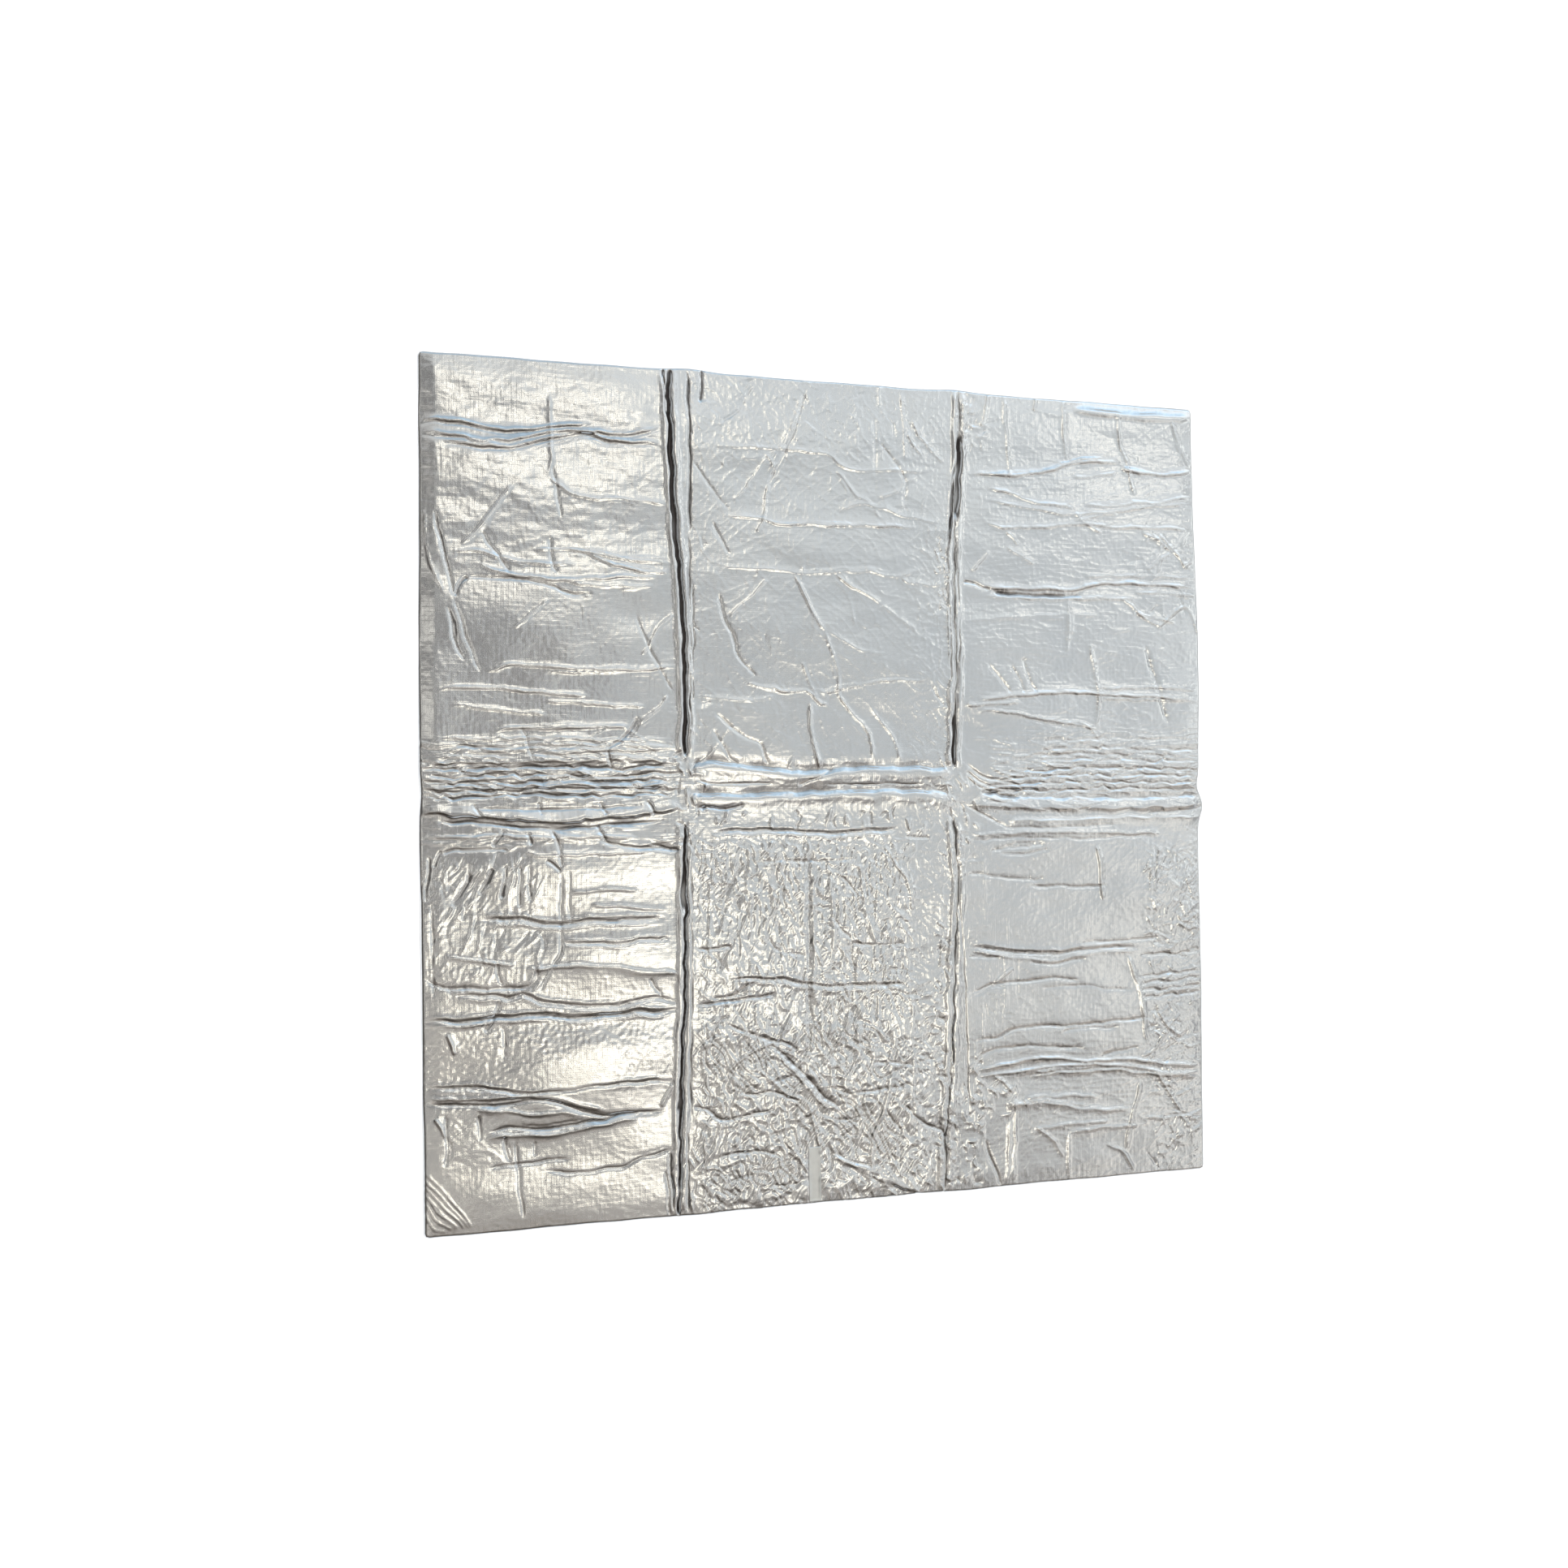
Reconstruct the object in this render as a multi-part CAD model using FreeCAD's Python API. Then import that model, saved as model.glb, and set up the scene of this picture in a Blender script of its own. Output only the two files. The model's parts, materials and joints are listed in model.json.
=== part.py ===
import FreeCAD, Part
import math
import os

# A square two-person sleeping mat: a sheet of closed-cell foam with an aluminised film on its face.
# It lies open on the floor, film up, with its origin under its middle: +X right, +Y to the back, +Z up.
# Two creases along Y make three columns, and a pair of creases along X, the spine, makes two rows.
# The left column folds over the middle one, the right column over both, and then the back row
# folds over the front row, so the spine is as wide as the six folded layers are high.
# Foam and film are cut into panels at the creases, and a strip of each bends at every crease.

# ---- driving dimensions, in millimetres ----
MAT_WIDTH = 1800.0           # along X
MAT_LENGTH = 1800.0          # along Y
CORNER_RADIUS = 8.0          # of the mat's four corners, seen from above
FOAM_THICKNESS = 7.4
FILM_THICKNESS = 0.6         # the film with its woven backing and its glue
FILM_WRAP_STOP = 1.0         # the film's edge stops this far above the floor
LAYER_CLEARANCE = 3.0        # between two folded layers, room for the film's wrinkles
LEFT_FOLD_X = -355.0         # hinge line between the left and middle columns
RIGHT_FOLD_X = 280.0         # hinge line between the middle and right columns
SPINE_MIDDLE_Y = 5.0         # middle of the spine
SPINE_HINGE_Z = 1.0          # the spine's two hinge lines lie this far above the floor
SPINE_CREASE_HALF = 8.0      # half the width of a crease strip along the spine
CUT_CLEARANCE = 0.1          # every panel and strip stops this far short of its cutting line
TAPE_WIDTH = 28.0
TAPE_LENGTH = 118.0
TAPE_THICKNESS = 0.3
TAPE_X = -70.0               # middle of the tape
TAPE_FRONT_GAP = 6.0         # from the tape's front end to the mat's front edge

# ---- derived dimensions ----
MAT_THICKNESS = FOAM_THICKNESS + FILM_THICKNESS
LAYER_PITCH = MAT_THICKNESS + LAYER_CLEARANCE
ROW_HEIGHT = 2 * LAYER_PITCH + MAT_THICKNESS          # three folded layers
FOLDED_HEIGHT = 2 * ROW_HEIGHT + LAYER_CLEARANCE      # six folded layers
SPINE_LENGTH = FOLDED_HEIGHT - 2 * SPINE_HINGE_Z
FRONT_CREASE_Y = SPINE_MIDDLE_Y - SPINE_LENGTH / 2
BACK_CREASE_Y = SPINE_MIDDLE_Y + SPINE_LENGTH / 2
LEFT_HINGE_Z = (LAYER_PITCH + MAT_THICKNESS) / 2      # folds the left column into the second layer
RIGHT_HINGE_Z = (2 * LAYER_PITCH + MAT_THICKNESS) / 2  # folds the right column into the third layer
LEFT_CREASE_HALF = math.pi * (LEFT_HINGE_Z - MAT_THICKNESS / 2) / 2
RIGHT_CREASE_HALF = math.pi * (RIGHT_HINGE_Z - MAT_THICKNESS / 2) / 2

EDGE_X = MAT_WIDTH / 2
EDGE_Y = MAT_LENGTH / 2
COLUMNS = {
    "left": (-EDGE_X, LEFT_FOLD_X - LEFT_CREASE_HALF),
    "middle": (LEFT_FOLD_X + LEFT_CREASE_HALF, RIGHT_FOLD_X - RIGHT_CREASE_HALF),
    "right": (RIGHT_FOLD_X + RIGHT_CREASE_HALF, EDGE_X),
}
COLUMN_CREASES = {
    "left": (LEFT_FOLD_X - LEFT_CREASE_HALF, LEFT_FOLD_X + LEFT_CREASE_HALF),
    "right": (RIGHT_FOLD_X - RIGHT_CREASE_HALF, RIGHT_FOLD_X + RIGHT_CREASE_HALF),
}
PANEL_ROWS = {
    "front": (-EDGE_Y, FRONT_CREASE_Y - SPINE_CREASE_HALF),
    "back": (BACK_CREASE_Y + SPINE_CREASE_HALF, EDGE_Y),
}
WHOLE_ROWS = {
    "front": (-EDGE_Y, FRONT_CREASE_Y),
    "spine": (FRONT_CREASE_Y, BACK_CREASE_Y),
    "back": (BACK_CREASE_Y, EDGE_Y),
}
# The middle column's spine slab leaves room for a strip that bends at each end. In the outer
# columns the slab is whole, and only the panels beside it end in a strip.
MIDDLE_SPINE = (FRONT_CREASE_Y + SPINE_CREASE_HALF, BACK_CREASE_Y - SPINE_CREASE_HALF)
MIDDLE_SPINE_CREASES = {
    "front": (FRONT_CREASE_Y - SPINE_CREASE_HALF, FRONT_CREASE_Y + SPINE_CREASE_HALF),
    "back": (BACK_CREASE_Y - SPINE_CREASE_HALF, BACK_CREASE_Y + SPINE_CREASE_HALF),
}
OUTER_SPINE_CREASES = {
    "front": (FRONT_CREASE_Y - SPINE_CREASE_HALF, FRONT_CREASE_Y),
    "back": (BACK_CREASE_Y, BACK_CREASE_Y + SPINE_CREASE_HALF),
}


def rounded_slab(inset, bottom, top):
    """A flat slab of the mat's outline, drawn in by inset, between two heights."""
    half_x = EDGE_X - inset
    half_y = EDGE_Y - inset
    slab = Part.makeBox(
        2 * half_x, 2 * half_y, top - bottom, FreeCAD.Vector(-half_x, -half_y, bottom)
    )
    uprights = [
        edge for edge in slab.Edges if abs(edge.Vertexes[0].Z - edge.Vertexes[1].Z) > top - bottom - 0.01
    ]
    return slab.makeFillet(CORNER_RADIUS - inset, uprights)


def whole_foam():
    """The foam sheet before it is cut at the creases."""
    return rounded_slab(FILM_THICKNESS, 0.0, FOAM_THICKNESS)


def whole_film():
    """The film: a face over the foam, and a band round the foam's four outer edges."""
    outside = rounded_slab(0.0, FILM_WRAP_STOP, MAT_THICKNESS)
    return outside.cut(whole_foam())


def cell(x_range, y_range):
    """The block of space that one panel or strip is cut from, a little clear of its cutting lines."""
    x_low, x_high = x_range
    y_low, y_high = y_range
    low = FreeCAD.Vector(x_low + CUT_CLEARANCE, y_low + CUT_CLEARANCE, -1.0)
    if x_low <= -EDGE_X:
        low.x = x_low - 1.0
    if y_low <= -EDGE_Y:
        low.y = y_low - 1.0
    high_x = x_high + 1.0 if x_high >= EDGE_X else x_high - CUT_CLEARANCE
    high_y = y_high + 1.0 if y_high >= EDGE_Y else y_high - CUT_CLEARANCE
    return Part.makeBox(high_x - low.x, high_y - low.y, MAT_THICKNESS + 2.0, low)


def cells():
    """{name: block of space} for every panel, spine slab and crease strip."""
    found = {}
    for column, x_range in COLUMNS.items():
        for row, y_range in PANEL_ROWS.items():
            found[f"panel_{row}_{column}"] = cell(x_range, y_range)
    for column, x_range in COLUMN_CREASES.items():
        for row, y_range in WHOLE_ROWS.items():
            found[f"{column}_crease_{row}"] = cell(x_range, y_range)
    found["spine_middle"] = cell(COLUMNS["middle"], MIDDLE_SPINE)
    for row, y_range in MIDDLE_SPINE_CREASES.items():
        found[f"spine_crease_{row}_middle"] = cell(COLUMNS["middle"], y_range)
    for column in ("left", "right"):
        found[f"spine_{column}"] = cell(COLUMNS[column], WHOLE_ROWS["spine"])
        for row, y_range in OUTER_SPINE_CREASES.items():
            found[f"spine_crease_{row}_{column}"] = cell(COLUMNS[column], y_range)
    return found


def repair_tape():
    """A short strip of clear tape on the front middle panel, running back from the front edge."""
    corner = FreeCAD.Vector(TAPE_X - TAPE_WIDTH / 2, -EDGE_Y + TAPE_FRONT_GAP, MAT_THICKNESS)
    return Part.makeBox(TAPE_WIDTH, TAPE_LENGTH, TAPE_THICKNESS, corner)


def export(name, shape):
    """Write one closed solid to its own file."""
    solid = shape.Solids[0]
    if len(shape.Solids) != 1 or not solid.isValid():
        raise ValueError(f"{name} isn't one valid solid")
    solid.exportStep(f"parts/{name}.step")
    box = solid.BoundBox
    print(f"{name}: {box.XLength:.1f} x {box.YLength:.1f} x {box.ZLength:.1f} mm")


os.makedirs("parts", exist_ok=True)
foam = whole_foam()
film = whole_film()
for name, block in cells().items():
    export(f"foam_{name}", foam.common(block))
    export(f"film_{name}", film.common(block))
export("repair_tape", repair_tape())
print(
    f"hinges: left ({LEFT_FOLD_X}, {LEFT_HINGE_Z}), right ({RIGHT_FOLD_X}, {RIGHT_HINGE_Z}), "
    f"spine y {FRONT_CREASE_Y} and {BACK_CREASE_Y}, z {SPINE_HINGE_Z}; folded height {FOLDED_HEIGHT}"
)
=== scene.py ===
import json
import math

import bpy
import numpy as np
from mathutils import Matrix, Vector


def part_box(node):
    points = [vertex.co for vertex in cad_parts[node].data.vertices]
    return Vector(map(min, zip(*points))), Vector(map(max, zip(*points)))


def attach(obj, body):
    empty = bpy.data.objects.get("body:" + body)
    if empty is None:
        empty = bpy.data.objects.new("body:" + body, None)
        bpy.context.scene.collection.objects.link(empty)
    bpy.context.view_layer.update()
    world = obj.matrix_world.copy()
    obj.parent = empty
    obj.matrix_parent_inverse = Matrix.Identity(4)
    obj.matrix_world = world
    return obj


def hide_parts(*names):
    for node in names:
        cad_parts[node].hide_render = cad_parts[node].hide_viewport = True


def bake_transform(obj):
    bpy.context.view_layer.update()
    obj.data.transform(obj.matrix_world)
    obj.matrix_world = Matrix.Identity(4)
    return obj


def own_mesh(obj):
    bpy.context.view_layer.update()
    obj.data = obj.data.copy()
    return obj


# The mat's looks: one relief over the whole mat, drawn wrinkle by wrinkle in mat coordinates (origin under
# the middle of the mat), and cut into film and foam pieces along the CAD's creases. Units are metres,
# except where a name or a comment says millimetres.

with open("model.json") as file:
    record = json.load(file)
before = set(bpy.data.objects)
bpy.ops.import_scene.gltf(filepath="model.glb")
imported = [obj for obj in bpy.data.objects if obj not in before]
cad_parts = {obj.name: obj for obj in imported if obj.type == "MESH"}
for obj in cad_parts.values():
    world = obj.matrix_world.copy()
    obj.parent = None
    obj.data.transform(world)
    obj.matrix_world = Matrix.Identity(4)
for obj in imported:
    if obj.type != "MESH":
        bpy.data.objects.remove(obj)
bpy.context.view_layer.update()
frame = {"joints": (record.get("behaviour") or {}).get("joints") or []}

MM = 0.001
SEED = 11

# ---- the mat's lines, read from the CAD frame ----


def hinge_point(name):
    """Where a joint's axis is, in the row frame."""
    return [j for j in frame["joints"] if j["name"] == name][0]["pos_m"]


EDGE_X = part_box("film_panel_front_right")[1][0]
EDGE_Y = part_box("film_panel_back_right")[1][1]
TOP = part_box("film_panel_front_right")[1][2]
LEFT_X = hinge_point("left_fold")[0]
RIGHT_X = hinge_point("right_fold")[0]
FRONT_Y = hinge_point("half_fold")[1]
BACK_Y = hinge_point("half_fold_back")[1]


CUT_CLEARANCE = 0.1 * MM      # each CAD node stops this far short of its cutting line


def half_width(node, axis):
    """Half the width of a crease strip, from cut to cut."""
    low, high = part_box(node)
    return (high[axis] - low[axis]) / 2 + CUT_CLEARANCE


LEFT_HALF = half_width("film_left_crease_front", 0)
RIGHT_HALF = half_width("film_right_crease_front", 0)
SPINE_HALF = half_width("film_spine_crease_front_middle", 1)

CRUSHED_STRIP = 12 * MM       # width of the strips that the half fold crushes, in the outer columns
COLUMN_LINES = [-EDGE_X, LEFT_X - LEFT_HALF, LEFT_X + LEFT_HALF,
                RIGHT_X - RIGHT_HALF, RIGHT_X + RIGHT_HALF, EDGE_X]
ROW_LINES = [-EDGE_Y, FRONT_Y - CRUSHED_STRIP, FRONT_Y - SPINE_HALF, FRONT_Y, FRONT_Y + SPINE_HALF,
             BACK_Y - SPINE_HALF, BACK_Y, BACK_Y + SPINE_HALF, BACK_Y + CRUSHED_STRIP, EDGE_Y]

# ---- the relief: heights over the whole mat on a fine square grid ----

RELIEF_PITCH = 1.5 * MM
RELIEF_MARGIN = 0.03          # the grid runs this far past the mat's edges
FILM_LOW = 1.2 * MM           # no film lies lower than this
REST_LEVEL = TOP - 2.0 * MM   # the height of smooth film: the wrinkles rise past the CAD's flat face
FILM_KNEE = TOP + 0.2 * MM    # above this, wrinkles are pressed flatter and flatter
FILM_HIGH = hinge_point("left_fold")[2] - 0.12 * MM   # no film is higher, so folded layers don't cross
RELIEF_BLUR = 0.5 * MM
HOLLOW_REACH = 9 * MM         # a dip is deeper than the film within about this distance
HOLLOW_START = 0.8 * MM       # depth at which painted shade starts to darken a dip
HOLLOW_RANGE = 2.4 * MM       # added depth at which the painted shade is darkest

relief_edge = EDGE_X + RELIEF_MARGIN
axis_values = np.arange(-relief_edge, relief_edge + RELIEF_PITCH / 2, RELIEF_PITCH)
relief_x, relief_y = np.meshgrid(axis_values, axis_values)
relief = np.zeros_like(relief_x)
rng = np.random.default_rng(SEED)


def line(*numbers):
    """Points in the mat's plane, from their x and y in whole millimetres."""
    return np.reshape(numbers, (-1, 2)) / 1000


def smoothstep(t):
    """A soft rise from 0 to 1 as t goes from 0 to 1."""
    t = np.clip(t, 0, 1)
    return t * t * (3 - 2 * t)


def band(low, high, soft, values):
    """1 between low and high, falling to 0 over soft on each side."""
    return smoothstep((values - low) / soft + 0.5) * smoothstep((high - values) / soft + 0.5)


def patch(x_low, x_high, y_low, y_high, soft=0.04):
    """1 inside a rectangle of the mat, with soft edges."""
    return band(x_low, x_high, soft, relief_x) * band(y_low, y_high, soft, relief_y)


def noise(wavelength, spread=0.35, stretch=1.0, angle=0.0):
    """Random waves near one wavelength, of unit deviation. stretch lengthens them along angle (degrees)."""
    size = len(axis_values)
    kx, ky = np.meshgrid(np.fft.rfftfreq(size, RELIEF_PITCH), np.fft.fftfreq(size, RELIEF_PITCH))
    turn = math.radians(angle)
    along = (kx * math.cos(turn) + ky * math.sin(turn)) * stretch
    across = -kx * math.sin(turn) + ky * math.cos(turn)
    distance = np.hypot(along, across) * wavelength
    weight = np.exp(-(((distance - 1) / spread) ** 2))
    waves = np.fft.irfft2(np.fft.rfft2(rng.standard_normal((size, size))) * weight, s=(size, size))
    return waves / waves.std()


# every drawn line is bent a little by these two maps, so that none is quite smooth
wander_x = 0.9 * MM * noise(.070, 0.4) + 0.15 * MM * noise(.018, 0.4)
wander_y = 0.9 * MM * noise(.070, 0.4) + 0.15 * MM * noise(.018, 0.4)
LINE_REACH = 0.76    # a wrinkle's profile falls away over this share of its width
CUT_OFF = 3.2        # a wrinkle is drawn out to this many times that distance


def smooth_line(points, step=0.018, wobble=0.0):
    """A rounded path through given points, with a little random wander."""
    points = np.array(points, float)
    if len(points) == 2:
        points = np.array([points[0], points.mean(0), points[1]])
    ends = np.vstack([2 * points[0] - points[1], points, 2 * points[-1] - points[-2]])
    path = []
    for a, b, c, d in zip(ends[:-3], ends[1:-2], ends[2:-1], ends[3:]):
        count = max(2, int(np.linalg.norm(c - b) / step) + 1)
        t = np.linspace(0, 1, count, endpoint=False)[:, None]
        path.append(0.5 * (2 * b + (c - a) * t + (2 * a - 5 * b + 4 * c - d) * t**2
                           + (3 * b - a - 3 * c + d) * t**3))
    path = np.vstack([*path, points[-1:]])
    if wobble:
        path[1:-1] += rng.normal(0, wobble, (len(path) - 2, 2))
    return path


def stroke(height, width, points, skew=0.0, wobble=0.5 * MM, blunt=0.12, sharp=1.15):
    """Draw one wrinkle into the relief. height and width are in millimetres; a negative height is a groove.
    skew makes the side to the left of the path's direction gentler (positive) or steeper (negative).
    blunt is the share of the length over which each end rises. sharp is 2 for a round top, less for a
    crease."""
    path = smooth_line(points, wobble=wobble)
    lengths = np.linalg.norm(np.diff(path, axis=0), axis=1)
    along = np.concatenate([[0], np.cumsum(lengths)]) / lengths.sum()
    size = LINE_REACH * width * MM
    reach = CUT_OFF * size * (1 + abs(skew))
    low = np.floor((path.min(0) - reach - axis_values[0]) / RELIEF_PITCH).astype(int)
    high = np.ceil((path.max(0) + reach - axis_values[0]) / RELIEF_PITCH).astype(int) + 1
    low, high = np.clip(low, 0, len(axis_values)), np.clip(high, 0, len(axis_values))
    if (high - low).min() < 2:
        return
    window = (slice(low[1], high[1]), slice(low[0], high[0]))
    x, y = relief_x[window] + wander_x[window], relief_y[window] + wander_y[window]
    nearest = np.full(x.shape, np.inf)
    side = np.zeros(x.shape)
    place = np.zeros(x.shape)
    for k, (start, end) in enumerate(zip(path[:-1], path[1:])):
        run = end - start
        t = np.clip(((x - start[0]) * run[0] + (y - start[1]) * run[1]) / (run @ run), 0, 1)
        dx, dy = x - start[0] - t * run[0], y - start[1] - t * run[1]
        distance = np.hypot(dx, dy)
        closer = distance < nearest
        nearest = np.where(closer, distance, nearest)
        side = np.where(closer, run[0] * dy - run[1] * dx, side)
        place = np.where(closer, along[k] + t * (along[k + 1] - along[k]), place)
    reach_here = size * np.where(side > 0, 1 + skew, 1 - skew)
    ends = smoothstep(place / blunt) * smoothstep((1 - place) / blunt)
    uneven = 1 + 0.22 * np.sin(place * lengths.sum() * 55 + rng.uniform(0, 6)) * ends
    relief[window] += height * MM * uneven * ends * np.exp(-((nearest / reach_here) ** sharp))


def wrinkle(height, width, points, *settings, **more):
    """A stroke with a few weaker, thinner ones that run beside parts of it."""
    stroke(height, width, points, *settings, **more)
    path = smooth_line(points)
    length = np.linalg.norm(np.diff(path, axis=0), axis=1).sum()
    for _ in range(rng.poisson(length / .14)):
        first = rng.uniform(0, .7)
        part = path[int(first * len(path)):int((first + rng.uniform(.25, .5)) * len(path)) + 2]
        if len(part) < 3:
            continue
        run = part[-1] - part[0]
        aside = np.array([-run[1], run[0]]) / np.linalg.norm(run) * rng.choice([-1, 1])
        drift = np.linspace(rng.uniform(3, 10), rng.uniform(3, 10), len(part))[:, None] * MM
        stroke(height * rng.uniform(-.35, .65), rng.uniform(2.4, 3.4), part + aside * drift,
               rng.uniform(-.4, .4), blunt=0.35)


def crackle(wavelength, thin=0.3, stretch=1.0, angle=0.0):
    """A net of thin sharp ridges, from 0 to 1, that are about half a wavelength apart."""
    return np.exp(-((np.abs(noise(wavelength, 0.35, stretch, angle)) / thin) ** 1.2))


def folded(waves):
    """Waves folded back and forth between 0 and 1: flat facets that meet in sharp ridges and valleys."""
    return np.abs(1.1 * waves % 2 - 1)


def double(height, width, points, gap=9.0, skew=0.3):
    """A pinched wrinkle: a groove between two low lips."""
    wrinkle(-0.72 * height, 0.8 * width, points, skew)
    path = np.array(points, float)
    for sign in (-1, 1):
        stroke(0.42 * height, width, path + [0, sign * gap * MM], sign * skew)


def scatter(count, x_range, y_range, length, angle, spread, height, width, bend=0.2):
    """Many short wrinkles strewn over a rectangle. angle and spread are in degrees."""
    for _ in range(count):
        x, y = rng.uniform(*x_range), rng.uniform(*y_range)
        half = rng.uniform(*length) / 2
        turn = math.radians(rng.normal(angle, spread))
        away = np.array([math.cos(turn), math.sin(turn)])
        aside = np.array([-away[1], away[0]]) * rng.normal(0, bend) * half
        ends = [(x, y) - away * half, (x, y) + aside, (x, y) + away * half]
        tall = rng.uniform(*height) * rng.choice([-1, 1, 1])
        stroke(tall, rng.uniform(*width), ends, rng.uniform(-0.4, 0.4), wobble=0.5 * MM, blunt=0.4)


def back_left_wrinkles():
    for points in (
        line(-900, 754, -850, 762, -790, 757, -740, 748, -680, 752, -620, 762, -540, 775),
        line(-900, 733, -840, 734, -780, 725, -720, 728, -660, 742, -600, 754, -560, 757, -530, 747,
            -480, 740, -390, 742),
        line(-860, 720, -800, 714, -740, 712, -690, 720, -640, 736, -580, 750, -530, 756, -480, 755,
            -430, 765, -390, 777),
    ):
        wrinkle(2.1, 3.8, points, 0.35)
        wrinkle(-1.1, 3.0, points + [0, -.007], 0.2)
    wrinkle(0.8, 4, line(-630, 830, -632, 760, -628, 700, -637, 655))
    wrinkle(-0.9, 3.5, line(-628, 680, -620, 630, -612, 570))
    wrinkle(-0.9, 3.5, line(-634, 530, -630, 480, -618, 455))
    wrinkle(1.0, 5, line(-640, 660, -610, 635, -570, 617, -500, 615, -430, 614, -380, 612), 0.3)
    wrinkle(1.2, 4, line(-705, 640, -730, 610, -760, 570, -790, 530, -820, 505), 0.2)
    wrinkle(-1.0, 3, line(-775, 540, -760, 510, -740, 490, -715, 450))
    wrinkle(1.0, 4, line(-840, 490, -790, 495, -740, 485, -700, 476, -650, 473, -580, 475), 0.3)
    wrinkle(1.4, 4, line(-790, 475, -750, 457, -700, 448, -650, 443, -600, 441, -500, 450, -390, 455))
    wrinkle(1.5, 4, line(-560, 500, -530, 487, -500, 475, -450, 466, -400, 462, -380, 472), 0.4)
    wrinkle(1.1, 4, line(-680, 502, -600, 503, -550, 500, -510, 492, -440, 486, -370, 487), 0.3)
    wrinkle(-1.4, 3, line(-810, 440, -760, 438, -700, 440, -650, 431, -620, 423, -600, 413, -540, 413))
    wrinkle(0.9, 4, line(-600, 436, -550, 431, -480, 432, -410, 436), 0.3)
    wrinkle(-1.5, 3.2, line(-870, 580, -855, 520, -845, 470, -835, 420, -830, 395))
    wrinkle(-1.0, 3.6, line(-830, 400, -815, 350, -800, 300, -785, 260, -770, 243), 0.3)
    wrinkle(-1.6, 3.0, line(-842, 380, -832, 330, -825, 300, -812, 270))
    wrinkle(-1.7, 3, line(-800, 440, -815, 430, -828, 400))
    wrinkle(0.8, 5, line(-890, 580, -888, 520, -880, 470, -862, 430, -850, 400), 0.2)
    wrinkle(1.3, 4, line(-775, 245, -730, 257, -700, 262, -650, 258, -600, 256, -500, 255, -420, 257,
        -360, 266), 0.4)
    wrinkle(1.3, 4, line(-870, 208, -800, 213, -750, 213, -700, 208, -650, 205, -600, 200, -550, 198), 0.4)
    wrinkle(1.0, 4, line(-650, 188, -580, 185, -500, 180, -430, 178), 0.3)
    wrinkle(0.7, 4, line(-840, 178, -760, 172, -700, 163, -640, 158), 0.3)
    wrinkle(1.3, 4, line(-760, 117, -730, 128, -700, 133, -660, 131, -600, 132, -530, 135, -460, 135), 0.4)
    wrinkle(-2.0, 3.5, line(-450, 157, -465, 130, -480, 115, -500, 98, -515, 85, -508, 45))
    wrinkle(0.8, 3, line(-640, 400, -665, 375, -710, 335))
    wrinkle(0.8, 3, line(-370, 378, -400, 350, -430, 300, -445, 285))
    wrinkle(-0.7, 3.5, line(-455, 380, -430, 310, -410, 270, -385, 225, -372, 205))
    wrinkle(0.8, 3, line(-385, 205, -400, 180, -430, 155, -450, 140))
    wrinkle(-0.8, 3, line(-695, 135, -685, 100, -672, 65))
    for y in (.108, .095, .086, .068):
        wrinkle(1.0, 3.5, [(-.88, y + .002), (-.74, y), (-.62, y + .003), (-.50, y - .001), (-.37, y)], 0.3,
            1.4 * MM)


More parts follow.
